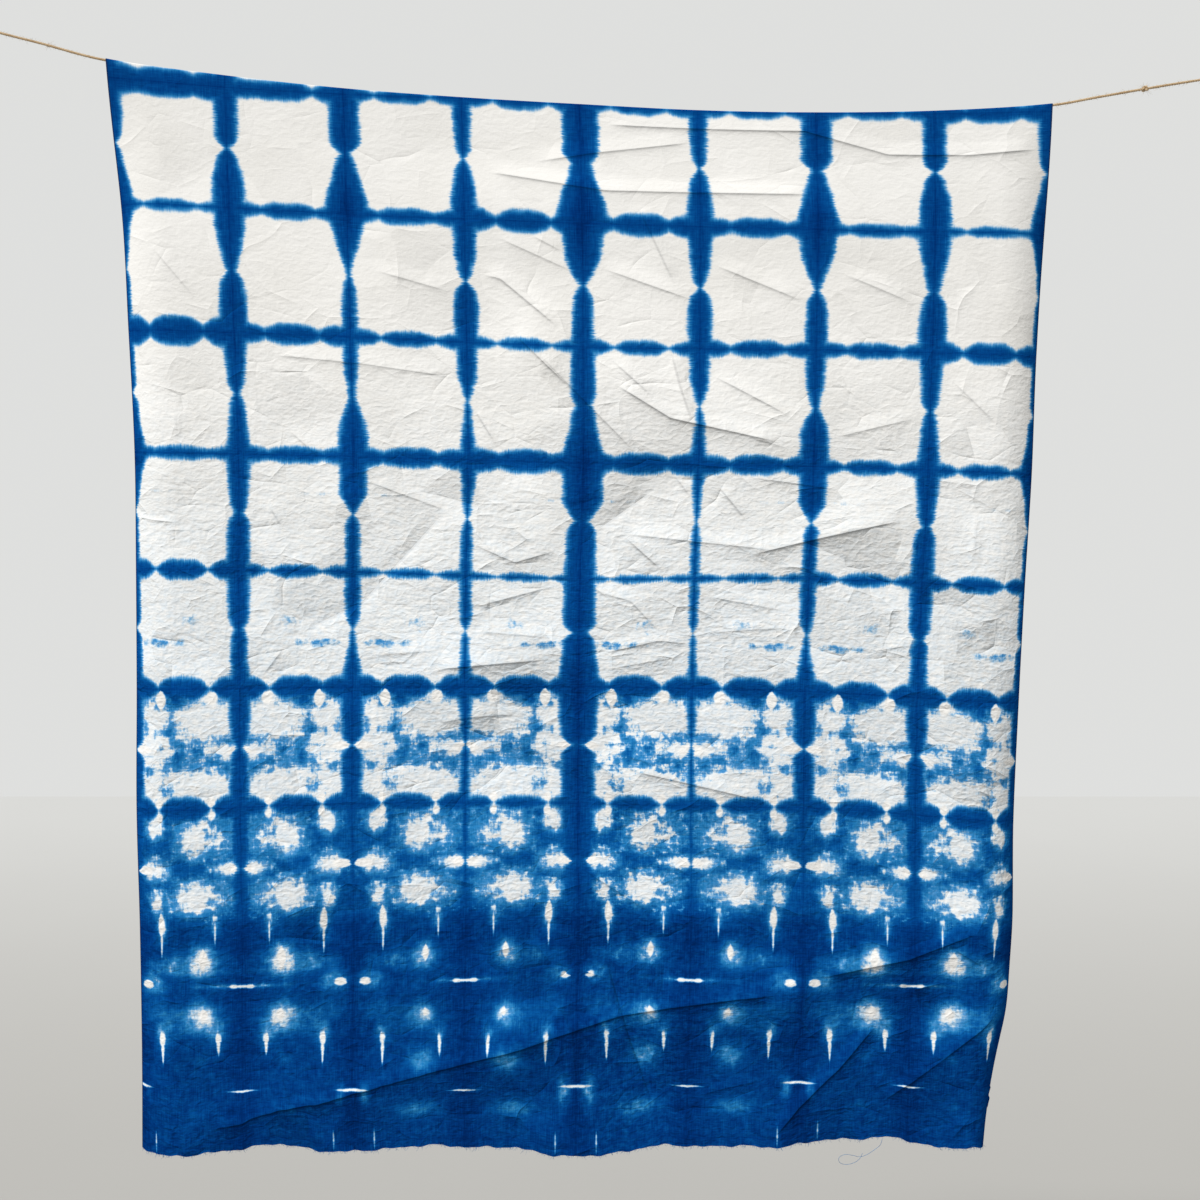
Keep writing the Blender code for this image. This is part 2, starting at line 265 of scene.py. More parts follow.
LONG_DIAGONAL = (
    (-3.3, 8.85),
    (-3.0, 8.8),
    (-2.0, 8.5),
    (-1.25, 8.3),
    (-0.55, 8.1),
    (0.35, 7.85),
    (0.8, 7.75),
    (1.8, 7.6),
)
CREASES = (
    Crease(LONG_DIAGONAL, 1.0),
    Crease(((2.15, 7.45), (2.95, 7.25), (3.6, 6.95)), 0.9),
    Crease(((1.9, 7.7), (2.36, 8.3)), 0.45),
    Crease(((2.72, 7.88), (2.4, 8.25), (1.78, 8.98)), 0.95),
    Crease(((2.75, 8.7), (3.8, 7.75)), 0.8),
    Crease(((0.25, 7.35), (0.7, 8.7)), -0.6),
    Crease(((-0.4, 2.05), (0.45, 2.9)), 0.5),
    Crease(((0.25, 2.3), (0.75, 2.6), (1.7, 2.8)), 0.8),
    Crease(((1.15, 3.15), (1.45, 3.5)), 0.6),
    Crease(((0.65, 3.2), (0.1, 3.6)), -0.6),
    Crease(((0.35, 3.6), (0.75, 3.95)), 0.7),
    Crease(((0.35, 3.6), (1.7, 3.75)), 0.5),
    Crease(((1.45, 3.8), (2.8, 3.45)), 0.8),
    Crease(((-0.8, 0.6), (0.2, 0.72), (1.95, 0.7)), 0.6),
    Crease(((0.45, 0.8), (0.8, 1.5)), 0.5),
    Crease(((0.2, 0.15), (1.9, 0.15), (2.6, 0.35), (3.3, 0.35), (3.9, 0.3)), 0.6),
    Crease(((1.1, 1.3), (1.9, 1.6)), 0.5),
    Crease(((0.15, 1.35), (0.95, 1.6)), 0.5),
    Crease(((-1.3, 4.85), (-0.25, 4.75)), 0.7),
    Crease(((-0.95, 5.55), (-0.15, 5.7), (0.1, 5.9)), -0.6),
    Crease(((0.45, 5.7), (1.65, 5.95)), 0.7),
    Crease(((0.0, 6.55), (0.65, 6.95)), 0.5),
    Crease(((1.1, 2.22), (1.8, 2.58)), 0.6),
    Crease(((1.4, 3.1), (2.25, 3.2)), 0.5),
    Crease(((-1.2, 3.45), (-1.9, 4.25), (-2.4, 4.5)), -0.6),
    Crease(((-2.6, 2.75), (-2.25, 3.05)), 0.4),
    Crease(((-2.75, 3.4), (-2.6, 3.65)), 0.4),
    Crease(((3.45, 3.3), (3.45, 3.85)), 0.4),
    Crease(((-0.4, 0.5), (0.1, 0.4), (0.95, 0.27)), 0.5),
    Crease(((-0.45, 1.1), (-0.15, 1.24)), 0.4),
    Crease(((-0.9, 1.43), (-0.7, 1.47), (-0.2, 1.85)), 0.65),
    Crease(((0.77, 3.06), (0.96, 3.3)), 0.4),
    Crease(((-0.95, 3.72), (-0.57, 3.87), (-0.2, 3.75)), 0.6),
    Crease(((0.18, 4.7), (0.7, 4.57), (1.0, 4.6)), 0.55),
    Crease(((0.2, 4.85), (0.87, 4.72)), 0.4),
    Crease(((1.4, 2.75), (1.78, 2.85)), 0.4),
    Crease(((2.55, 4.63), (2.97, 4.54)), 0.4),
    Crease(((-3.54, 2.6), (-3.53, 2.9)), 0.3),
    Crease(((-2.5, 4.2), (-2.4, 4.4)), 0.3),
    Crease(((-1.85, 4.73), (-1.2, 4.67)), 0.4),
    Crease(((-2.8, 4.9), (-2.6, 4.65)), 0.4),
    Crease(((-1.3, 5.33), (-0.95, 5.27), (-0.5, 5.24)), 0.4),
    Crease(((0.75, 6.94), (1.15, 6.98)), 0.4),
    Crease(((3.3, 7.1), (3.65, 7.3)), 0.5),
    Crease(((1.05, 8.6), (1.4, 8.5), (1.7, 8.45)), 0.4),
    Crease(((3.4, 9.0), (3.6, 8.75)), 0.5),
    Crease(((-0.2, 7.62), (-0.05, 7.93), (0.0, 8.4)), 0.5),
    Crease(((-0.62, 1.88), (-0.1, 2.36)), 0.6),
    Crease(((0.22, 2.08), (0.50, 2.33), (0.62, 2.44)), 0.6),
    Crease(((0.74, 1.95), (0.83, 2.31), (0.96, 2.70)), 0.6),
    Crease(((-0.96, 2.53), (-0.74, 2.88)), 0.5),
    Crease(((0.1, 4.1), (0.45, 4.2), (0.72, 4.5)), 0.5),
    Crease(((-0.95, 4.29), (-0.2, 4.06)), 0.5),
    Crease(((-0.92, 4.50), (-0.2, 4.55)), 0.4),
    Crease(((1.05, 4.15), (1.8, 4.29)), 0.4),
    Crease(((1.05, 4.50), (1.85, 4.44)), 0.35),
    Crease(((-2.7, 2.17), (-1.9, 2.22), (-1.1, 2.30)), 0.4),
    Crease(((-1.8, 1.44), (-1.1, 1.60)), 0.4),
    Crease(((-0.74, 1.13), (-0.05, 1.40)), 0.4),
    Crease(((-3.7, 1.3), (-3.3, 1.75)), 0.3),
    Crease(((2.2, 1.35), (2.85, 1.60)), 0.4),
    Crease(((2.15, 2.75), (2.9, 2.55)), 0.4),
    Crease(((3.15, 2.2), (3.6, 2.6)), 0.4),
    Crease(((-1.9, 3.2), (-1.15, 3.45)), 0.4),
)


class Tone(Enum):
    """What a mark in the dye is."""

    WHITE = "kept white by the clamps"
    WET = "where the dye seeped in"
    DRY = "where the dye thinned out"


class Mark(NamedTuple):
    """One oval of the repeat, mirrored about every column line.

    across is the distance in cells from the nearest even column, so 1 is an odd column.
    """

    tone: Tone
    across: float
    row: float
    half_across: float
    half_down: float
    strength: float = 1.0


def marks(tone: Tone, *ovals: tuple[float, ...]) -> tuple[Mark, ...]:
    """Marks of one tone, each from its place, its half sizes and its strength."""
    return tuple(Mark(tone, *oval) for oval in ovals)


MARKS = (
    # Seeps
    *marks(
        Tone.WET,
        (0.24, 3.33, 0.26, 0.018, 0.42),
        (0.3, 4.62, 0.24, 0.022, 0.5),
        (0.3, 4.61, 0.1, 0.02, 0.36),
        (0.55, 4.43, 0.13, 0.06, 0.26),
        (0.43, 5.08, 0.11, 0.14, 0.85),
        (0.38, 5.24, 0.04, 0.11, 0.6),
        (0.97, 5.08, 0.08, 0.1, 0.35),
        (0.06, 5.2, 0.06, 0.2, 0.35),
        (0.36, 5.36, 0.26, 0.016, 0.8),
        (0.37, 5.37, 0.06, 0.035, 0.6),
        (0.26, 5.49, 0.055, 0.04, 0.55),
        (0.43, 5.54, 0.09, 0.12, 0.74),
        (0.63, 5.51, 0.09, 0.065, 0.6),
        (0.7, 5.62, 0.12, 0.05, 0.45),
        (0.92, 5.44, 0.11, 0.035, 0.5),
        (0.87, 5.66, 0.12, 0.06, 0.52),
        (0.16, 5.66, 0.12, 0.05, 0.35),
        (0.35, 5.82, 0.06, 0.045, 0.78),
        (0.82, 5.76, 0.08, 0.03, 0.4),
        (0.36, 6.2, 0.09, 0.11, 0.6),
        (0.54, 6.46, 0.16, 0.09, 0.6),
        (0.2, 6.49, 0.05, 0.045, 0.5),
        (0.24, 6.65, 0.26, 0.02, 0.85),
        (0.12, 6.81, 0.2, 0.018, 0.5),
        (0.97, 6.72, 0.06, 0.2, 0.4),
    ),
    # Thin places and pale clouds
    *marks(
        Tone.DRY,
        (0.69, 5.27, 0.26, 0.14, 0.96),
        (0.24, 5.26, 0.1, 0.09, 0.85),
        (0.22, 5.51, 0.17, 0.1, 0.75),
        (0.9, 5.53, 0.13, 0.05, 0.8),
        (0.64, 5.83, 0.26, 0.11, 0.95),
        (0.15, 5.83, 0.12, 0.1, 0.85),
        (0.59, 6.25, 0.17, 0.165, 0.95),
        (0.22, 6.15, 0.08, 0.1, 0.9),
        (0.87, 6.25, 0.13, 0.17, 0.34),
        (0.21, 6.49, 0.14, 0.1, 0.8),
        (0.9, 6.5, 0.14, 0.055, 0.9),
        (0.58, 6.73, 0.21, 0.15, 0.95),
        (0.22, 6.75, 0.075, 0.1, 0.8),
        (0.86, 6.7, 0.11, 0.14, 0.34),
        (0.64, 7.27, 0.09, 0.12, 0.58),
        (0.56, 7.3, 0.24, 0.1, 0.28),
        (0.62, 7.36, 0.36, 0.012, 0.3),
        (0.3, 7.31, 0.16, 0.05, 0.18),
        (0.15, 7.48, 0.11, 0.09, 0.4),
        (0.84, 7.51, 0.24, 0.014, 0.3),
        (0.64, 7.79, 0.1, 0.11, 0.58),
        (0.56, 7.82, 0.2, 0.11, 0.26),
        (0.2, 7.74, 0.15, 0.1, 0.14),
        (0.27, 7.95, 0.06, 0.12, 0.36),
        (0.78, 7.96, 0.055, 0.1, 0.34),
        (0.62, 8.19, 0.1, 0.09, 0.34),
        (0.11, 8.5, 0.045, 0.11, 0.42),
        (0.56, 8.69, 0.15, 0.06, 0.3),
        (0.265, 6.97, 0.06, 0.12, 0.5),
        (0.755, 6.97, 0.05, 0.08, 0.45),
    ),
    # Places that the clamped folds kept from the dye
    *marks(
        Tone.WHITE,
        (0.755, 5.08, 0.05, 0.06),
        (0.295, 5.09, 0.05, 0.085),
        (0.1, 5.5, 0.1, 0.036),
        (1.0, 5.53, 0.135, 0.05),
        (0.745, 5.945, 0.038, 0.046),
        (0.745, 6.057, 0.036, 0.046),
        (0.27, 5.945, 0.036, 0.046),
        (0.27, 6.06, 0.034, 0.05),
        (0.1, 6.49, 0.11, 0.04),
        (1.0, 6.5, 0.14, 0.046),
        (0.265, 6.95, 0.034, 0.12),
        (0.755, 6.9, 0.024, 0.046),
        (0.645, 7.26, 0.034, 0.085, 0.9),
        (0.11, 7.49, 0.068, 0.035),
        (0.655, 7.77, 0.036, 0.06, 0.8),
        (0.27, 7.99, 0.026, 0.085),
        (0.785, 7.99, 0.023, 0.06),
    ),
)
# How wet the cloth got, down its rows
WETNESS = (
    (3.9, 0.0), (4.1, 0.07), (4.5, 0.09), (4.9, 0.09), (5.0, 0.32), (5.10, 0.32), (5.32, 0.24),
    (5.42, 0.36), (5.65, 0.36), (5.78, 0.26), (5.95, 0.26), (6.05, 0.74), (6.25, 0.82),
    (6.5, 0.86), (6.85, 0.86), (6.93, 0.94), (7.02, 0.97), (7.9, 0.95), (8.06, 0.97),
)
# How much the dye's edge is broken up by the threads, down the rows
MOTTLE = ((3.0, 0.45), (4.8, 0.65), (5.1, 1.0), (6.9, 1.0), (7.1, 0.75), (8.1, 0.45))

# Full width in millimetres of the band on each column, counted from the middle one out
COLUMN_BANDS: dict[int, tuple[Point, ...]] = {
    0: (
        (0.0, 43), (0.4, 43), (0.6, 28), (0.72, 46), (0.82, 53), (0.92, 61), (1.0, 62),
        (1.1, 50), (1.17, 46), (1.27, 42), (1.38, 30), (1.47, 18), (1.7, 24), (2.0, 28),
        (2.3, 30), (2.65, 30), (2.9, 48), (3.0, 60), (3.15, 48), (3.33, 50), (3.42, 34),
        (3.7, 37), (4.3, 40), (4.7, 42), (5.0, 54), (5.3, 46), (5.7, 43), (6.3, 43), (6.7, 41),
    ),
    1: (
        (0.0, 24), (0.4, 17), (0.6, 20), (0.7, 26), (0.85, 31), (1.0, 33), (1.15, 27),
        (1.3, 25), (1.4, 17), (1.6, 26), (1.7, 30), (1.85, 29), (2.0, 26), (2.15, 24),
        (2.3, 23), (2.4, 14), (2.6, 9), (2.75, 14), (2.9, 19), (3.0, 22), (3.15, 19),
        (3.4, 10), (3.7, 15), (4.3, 15), (4.65, 10), (5.0, 20), (5.3, 14), (6.7, 14),
    ),
    2: (
        (0.0, 36), (0.4, 36), (0.58, 24), (0.65, 30), (0.78, 40), (0.9, 50), (1.0, 54),
        (1.08, 40), (1.2, 31), (1.33, 18), (1.43, 8), (1.58, 13), (1.7, 18), (2.0, 18),
        (2.3, 17), (2.42, 10), (2.58, 17), (2.72, 32), (2.85, 36), (3.0, 38), (3.15, 33),
        (3.33, 34), (3.42, 18), (3.7, 18), (4.3, 20), (4.6, 8), (4.8, 20), (5.0, 31),
        (5.3, 29), (5.7, 29), (6.0, 24), (6.3, 16), (6.7, 20),
    ),
    3: (
        (0.0, 28), (0.38, 28), (0.6, 25), (0.75, 37), (0.9, 39), (1.0, 38), (1.15, 36),
        (1.3, 28), (1.42, 20), (1.6, 29), (1.75, 34), (1.9, 34), (2.0, 32), (2.15, 27),
        (2.35, 22), (2.6, 18), (2.8, 25), (3.0, 29), (3.15, 29), (3.4, 22), (3.7, 29),
        (4.3, 28), (4.65, 20), (5.0, 26), (5.2, 29), (5.4, 24), (5.7, 26), (6.7, 26),
    ),
    4: (
        (0.0, 34), (0.3, 30), (0.6, 20), (0.8, 36), (1.0, 50), (1.15, 30), (1.4, 16),
        (1.7, 19), (2.3, 19), (2.75, 28), (3.0, 50), (3.2, 28), (3.5, 12), (3.7, 17),
        (4.3, 22), (5.0, 28), (6.0, 32),
    ),
}
# Full width in millimetres at each pinch, from the one above row 1 down
WAISTS: dict[int, tuple[float, ...]] = {
    0: (24, 8, 18, 18, 20, 18, 18),
    1: (2, 3.6, 2.4, 2.4, 1.2, 2.4, 2.4),
    2: (12, 6, 8, 3, 2.4, 3.6, 2.4),
    3: (6, 10, 7, 11, 12, 10, 8),
    4: (7, 7, 6, 5, 5, 5, 5),
}
# How much fuller the second column's band is on the right of the middle, down the rows
FULLER_RIGHT = ((1.05, 1.0), (1.25, 1.4), (1.45, 1.7), (1.6, 1.5), (2.6, 1.3), (2.8, 1.0))
# Full height in millimetres of each row's bar in the eight cells, left to right
ROW_BARS: tuple[tuple[float, ...], ...] = (
    (34, 23, 16, 18, 16, 14, 16, 24),
    (13, 18, 19, 26, 26, 22, 16, 12),
    (34, 24, 18, 14, 17, 19, 18, 25),
    (16, 20, 24, 29, 26, 24, 18, 17),
    (24, 16, 12, 10, 10, 11, 17, 20),
    (29, 29, 30, 29, 30, 30, 29, 29),
    (31, 25, 24, 19, 22, 23, 26, 31),
    (-40,) * 8,
)
# Full height in millimetres where each row pinches beside its columns, in the same cells
ROW_NECKS: tuple[tuple[float, ...], ...] = (
    (26, 8, 6, 5, 5, 5, 8, 14),
    (5, 9, 11, 10, 13, 13, 9, 6),
    (14, 12, 6, 3, 2.5, 8, 10, 8),
    (10, 12, 14, 18, 16, 12, 8, 6),
    (4, 3, 2.5, 2.5, 2.5, 2.5, 3, 4),
    (10, 12, 12, 12, 12, 12, 12, 10),
    (5, 4, 4, 3, 3, 4, 4, 5),
    (-40,) * 8,
)
# Where the pattern's own row 0 lies against the fold, in rows, for each column
FOLD_ROW = ((-4, -0.13), (-3, -0.09), (-2, -0.04), (-1, 0.0), (2.5, 0.0), (4, -0.05))


@dataclass(frozen=True)
class Signal:
    """A number on its way through a material's nodes."""

    tree: bpy.types.NodeTree
    socket: bpy.types.NodeSocket

    def into(self, slot: bpy.types.NodeSocket) -> None:
        """Links this to a node's input."""
        self.tree.links.new(self.socket, slot)

    def math(self, operation: str, *others: "Signal | float") -> "Signal":
        """Puts this through a Math node.

        Args:
            operation: What the node does.
            others: Its other inputs.

        Returns:
            The result.
        """
        node = self.tree.nodes.new("ShaderNodeMath")
        node.operation = operation
        for slot, value in zip(node.inputs, (self, *others)):
            if isinstance(value, Signal):
                value.into(slot)
            else:
                slot.default_value = value
        return Signal(self.tree, node.outputs[0])

    def __add__(self, other: "Signal | float") -> "Signal":
        """This plus other."""
        return self.math("ADD", other)

    def __sub__(self, other: "Signal | float") -> "Signal":
        """This less other."""
        return self.math("SUBTRACT", other)

    def __mul__(self, other: "Signal | float") -> "Signal":
        """This times other."""
        return self.math("MULTIPLY", other)

    def size(self) -> "Signal":
        """This without its sign."""
        return self.math("ABSOLUTE")

    def least(self, other: "Signal | float") -> "Signal":
        """The smaller of this and other."""
        return self.math("MINIMUM", other)

    def most(self, other: "Signal | float") -> "Signal":
        """The larger of this and other."""
        return self.math("MAXIMUM", other)

    def step(self, low: float, high: float, start: float = 0.0, end: float = 1.0) -> "Signal":
        """Eases between two values.

        Args:
            low: Where this starts to count.
            high: Where it stops.
            start: The value up to low.
            end: The value from high on.

        Returns:
            The eased value.
        """
        node = self.tree.nodes.new("ShaderNodeMapRange")
        node.interpolation_type = "SMOOTHSTEP"
        self.into(node.inputs["Value"])
        for name, value in zip(("From Min", "From Max", "To Min", "To Max"), (low, high, start, end)):
            node.inputs[name].default_value = value
        return Signal(self.tree, node.outputs["Result"])


@dataclass(frozen=True)
class Dyer:
    """Makes the nodes of one material."""

    tree: bpy.types.NodeTree
    dimensions: str = "2D"

    def split(self, whole: Signal) -> tuple[Signal, Signal, Signal]:
        """Takes three numbers apart.

        Args:
            whole: The three numbers as one.

        Returns:
            Each of them.
        """
        node = self.tree.nodes.new("ShaderNodeSeparateXYZ")
        whole.into(node.inputs[0])
        x, y, z = (Signal(self.tree, out) for out in node.outputs)
        return x, y, z

    def attribute(self, name: str) -> tuple[Signal, Signal, Signal]:
        """Reads three numbers that the mesh carries.

        Args:
            name: The name that they are stored under.

        Returns:
            The three numbers.
        """
        source = self.tree.nodes.new("ShaderNodeAttribute")
        source.attribute_name = name
        return self.split(Signal(self.tree, source.outputs["Vector"]))

    def here(self) -> Signal:
        """The place in the piece's own metres."""
        source = self.tree.nodes.new("ShaderNodeTexCoord")
        return Signal(self.tree, source.outputs["Object"])

    def place(self, x: Signal, y: Signal) -> Signal:
        """A place made of two signals.

        Args:
            x: Its first number.
            y: Its second number.

        Returns:
            The place.
        """
        node = self.tree.nodes.new("ShaderNodeCombineXYZ")
        x.into(node.inputs[0])
        y.into(node.inputs[1])
        return Signal(self.tree, node.outputs[0])

    def noise(self, at: Signal, scale: float, detail: float = 2.0, rough: float = 0.5) -> Signal:
        """Smooth noise about 0.

        Args:
            at: The place.
            scale: How many lumps lie along one unit.
            detail: How many finer layers it has.
            rough: How much each finer layer counts.

        Returns:
            The noise, from -0.5 to 0.5.
        """
        node = self.tree.nodes.new("ShaderNodeTexNoise")
        node.noise_dimensions = self.dimensions
        at.into(node.inputs["Vector"])
        node.inputs["Scale"].default_value = scale
        node.inputs["Detail"].default_value = detail
        node.inputs["Roughness"].default_value = rough
        return Signal(self.tree, node.outputs[0]) - 0.5

    def drawn_out(
        self, x: Signal, y: Signal, scales: Point, detail: float = 2.0, rough: float = 0.6
    ) -> Signal:
        """Noise that is drawn out along the cloth's threads.

        Args:
            x: The place across.
            y: The place down.
            scales: How many lumps lie along one cell, across and down.
            detail: How many finer layers it has.
            rough: How much each finer layer counts.

        Returns:
            The noise, from -0.5 to 0.5.
        """
        return self.noise(self.place(x * scales[0], y * scales[1]), 1.0, detail, rough)

    def net(self, at: Signal) -> tuple[Signal, Signal]:
        """A net of uneven cells.

        Args:
            at: The place, in units of about one cell.

        Returns:
            The distance to the nearest edge, and each cell's own colour.
        """
        found = []
        for feature, output in (("DISTANCE_TO_EDGE", "Distance"), ("F1", "Color")):
            node = self.tree.nodes.new("ShaderNodeTexVoronoi")
            node.voronoi_dimensions = self.dimensions
            node.feature = feature
            at.into(node.inputs["Vector"])
            node.inputs["Scale"].default_value = 1.0
            found.append(Signal(self.tree, node.outputs[output]))
        return found[0], found[1]

    def lean(self, normal: Signal, way: Signal, amount: Signal) -> Signal:
        """Leans the surface's direction by each cell's own colour.

        Args:
            normal: The direction.
            way: The cell's colour, which says which way it leans.
            amount: How far.

        Returns:
            The new direction.
        """
        steps = []
        for operation in ("SUBTRACT", "SCALE", "ADD", "NORMALIZE"):
            node = self.tree.nodes.new("ShaderNodeVectorMath")
            node.operation = operation
            steps.append(node)
        centred, scaled, added, unit = steps
        way.into(centred.inputs[0])
        centred.inputs[1].default_value = (0.5, 0.5, 0.5)
        self.tree.links.new(centred.outputs[0], scaled.inputs[0])
        amount.into(scaled.inputs["Scale"])
        self.tree.links.new(scaled.outputs[0], added.inputs[0])
        normal.into(added.inputs[1])
        self.tree.links.new(added.outputs[0], unit.inputs[0])
        return Signal(self.tree, unit.outputs[0])

    def ramp(self, at: Signal, stops: tuple[tuple[float, Triple], ...]) -> Signal:
        """Looks a colour up in a ramp.

        Args:
            at: Where in the ramp, from 0 to 1.
            stops: The ramp's places and their colours.

        Returns:
            The colour.
        """
        node = self.tree.nodes.new("ShaderNodeValToRGB")
        at.into(node.inputs[0])
        elements = node.color_ramp.elements
        while len(elements) < len(stops):
            elements.new(0.5)
        for element, (position, colour) in zip(elements, stops):
            element.position = position
            element.color = (*colour, 1.0)
        return Signal(self.tree, node.outputs[0])

    def tint(self, share: Signal, base: Signal, colour: Triple) -> Signal:
        """Mixes a colour into another.

        Args:
            share: How much of it.
            base: The colour beneath.
            colour: The colour mixed in.

        Returns:
            The mixed colour.
        """
        node = self.tree.nodes.new("ShaderNodeMix")
        node.data_type = "RGBA"
        share.into(node.inputs[0])
        base.into(node.inputs[6])
        node.inputs[7].default_value = (*colour, 1.0)
        return Signal(self.tree, node.outputs[2])

    def bump(self, height: Signal, metres: float) -> Signal:
        """Turns a height into the surface's direction.

        Args:
            height: The height.
            metres: What it counts in.

        Returns:
            The direction.
        """
        node = self.tree.nodes.new("ShaderNodeBump")
        node.inputs["Strength"].default_value = 1.0
        node.inputs["Distance"].default_value = metres
        height.into(node.inputs["Height"])
        return Signal(self.tree, node.outputs[0])


def new_material(name: str, dimensions: str = "2D") -> tuple[bpy.types.Material, Dyer, bpy.types.Node]:
    """An empty Principled material.

    Args:
        name: The material's name.
        dimensions: Of its noise: 2D on the cloth's own places, 3D elsewhere.

    Returns:
        The material, the maker of its nodes, and its shader.
    """
    material = bpy.data.materials.new(name)
    material.use_nodes = True
    shader = material.node_tree.nodes["Principled BSDF"]
    return material, Dyer(material.node_tree, dimensions), shader


@dataclass(frozen=True)
class PatternPlace:
    """Where a point of the cloth lies on the dyed pattern, in cells."""

    column: Signal
    row: Signal
    mottle: Signal
    down: Signal
    beside: Signal
    under: Signal
    across: Signal

    @classmethod
    def read(cls, dyer: Dyer) -> "PatternPlace":
        """Reads the place from the mesh.

        Args:
            dyer: The maker of the material's nodes.

        Returns:
            The place, with its distances from the fold, the nearest column line, the nearest
            row line and the nearest even column.
        """
        column, row, mottle = dyer.attribute("place")
        down = row.size()
        beside = (column - column.math("ROUND")).size()
        under = (down - down.math("ROUND")).size()
        return cls(column, row, mottle, down, beside, under, column.math("PINGPONG", 1.0))


class Grain(NamedTuple):
    """How unevenly the dye took: blotches, a cell's own ones, weft-wise ones, and all of it."""

    blotch: Signal
    own: Signal
    level: Signal
    whole: Signal


@dataclass(frozen=True)
class IndigoCottonFinish:
    """Plain-weave cotton, white where the folds were clamped and indigo where dye came in, with painted
    shade along its creases.

    Distances are in cells, depths of dye run from 0 to 1, and heights are in millimetres.
    """

    name: str = "indigo_cotton"
    # The edge of the bands and bars, and where a bar pinches beside its columns
    feather: float = 0.025
    fringe: float = 0.050
    wander: float = 0.028
    pinch_reach: float = 0.10
    neck_across: float = 0.265
    neck_reach: float = 0.15
    corner: float = 0.045
    # Drops and slits too thin for the mesh: across, row, half width and half height
    drops: tuple[tuple[float, float, float, float], ...] = (
        (0.265, 7.10, 0.013, 0.130),
        (0.755, 7.03, 0.009, 0.100),
        (0.272, 8.09, 0.016, 0.150),
        (0.785, 8.06, 0.015, 0.110),
        (1.000, 7.51, 0.150, 0.012),
        (0.925, 7.51, 0.050, 0.021),
        (0.000, 8.46, 0.150, 0.017),
        (1.000, 8.50, 0.150, 0.012),
        (0.185, 8.96, 0.009, 0.090),
    )
    # How far the grain breaks a kept place's edge, where that edge is, and how much is kept
    kept_grain: float = 0.014
    kept_edge: Point = (-0.009, 0.011)
    kept_share: float = 0.98
    # Depths of dye in the bands from their edge in, in the seeps, and over all the lower rows
    band_depths: Triple = (0.44, 0.27, 0.20)
    seep_depths: Point = (0.215, 0.62)
    faint_depth: float = 0.042
    dye: tuple[tuple[float, Triple], ...] = (
        (0.00, (0.83, 0.822, 0.805)),
        (0.08, (0.61, 0.70, 0.785)),
        (0.17, (0.285, 0.48, 0.67)),
        (0.29, (0.075, 0.277, 0.57)),
        (0.44, (0.0173, 0.185, 0.448)),
        (0.58, (0.0028, 0.088, 0.310)),
        (0.72, (0.0012, 0.055, 0.236)),
        (0.86, (0.0006, 0.0315, 0.170)),
        (1.00, (0.0003, 0.0195, 0.118)),
    )
    aged_white: Triple = (0.63, 0.61, 0.56)
    # Painted shade along the creases: its colour and how strongly it is mixed in
    crease_shadow: Triple = (0.0, 0.012, 0.035)
    crease_shade: float = 0.34
    selvedge_blue: Triple = (0.01, 0.03, 0.09)
    selvedge_columns: Point = (3.984, 3.990)
    selvedge_shade: float = 0.75
    # How fast a crease falls off on its two sides, per metre, and where its line of painted shade lies
    crease_sides: Point = (95.0, -330.0)
    crease_shade_line: Point = (0.0008, 0.0026)
    crease_height: float = 3.3
    thread_pitch: float = 0.0007
    weave_height: float = 0.014
    slub_height: float = 0.07
    roughness: Point = (0.9, 0.80)

    def grain(self, dyer: Dyer, at: PatternPlace) -> Grain:
        """How unevenly the dye took.

        Args:
            dyer: The maker of the material's nodes.
            at: Where the point lies.

        Returns:
            The grain. All but a cell's own blotches are mirrored about the column lines.
        """
        blotch = dyer.noise(dyer.place(at.across, at.down), 9.5, 4.0, 0.60)
        own = dyer.noise(dyer.place(at.column, at.row), 19.0, 2.0, 0.60)
        upright = dyer.drawn_out(at.across, at.down, (40.0, 7.0))
        level = dyer.drawn_out(at.across, at.down, (6.0, 44.0))
        whole = blotch * 1.30 + own * 0.40 + upright * 0.42 + level * 0.55
        return Grain(blotch, own, level, whole)

    def printed(self, dyer: Dyer, at: PatternPlace) -> tuple[Signal, Signal]:
        """The bands on the columns and the bars on the rows, with their feathery edges.

        Args:
            dyer: The maker of the material's nodes.
            at: Where the point lies.

        Returns:
            How far inside a band the point is, and how far inside either.
        """
        band, waist, bar = dyer.attribute("bands")
        neck, _, _ = dyer.attribute("stain")
        wander = dyer.noise(dyer.place(at.column, at.row), 9.0, 2.0) * self.wander
        weft = dyer.drawn_out(at.column, at.row, (9.0, 92.0), 2.0, 0.65) * self.fringe
        warp = dyer.drawn_out(at.column, at.row, (98.0, 9.0), 2.0, 0.65) * self.fringe
        warp = warp * at.down.step(0.3, 4.5, 0.35, 0.75)

        from_pinch = (at.under * -1.0) + 0.5
        pinch = from_pinch.step(-self.pinch_reach, self.pinch_reach, -1.0, 1.0)
        upright = waist + (band - waist) * pinch - at.beside
        from_neck = (at.beside - self.neck_across).size()
        beyond = from_neck.step(-self.neck_reach, self.neck_reach, -1.0, 1.0)
        level = neck + (bar - neck) * beyond - at.under
        upright = upright + weft + wander
        level = level + warp + wander
        return upright, upright.math("SMOOTH_MAX", level, self.corner)

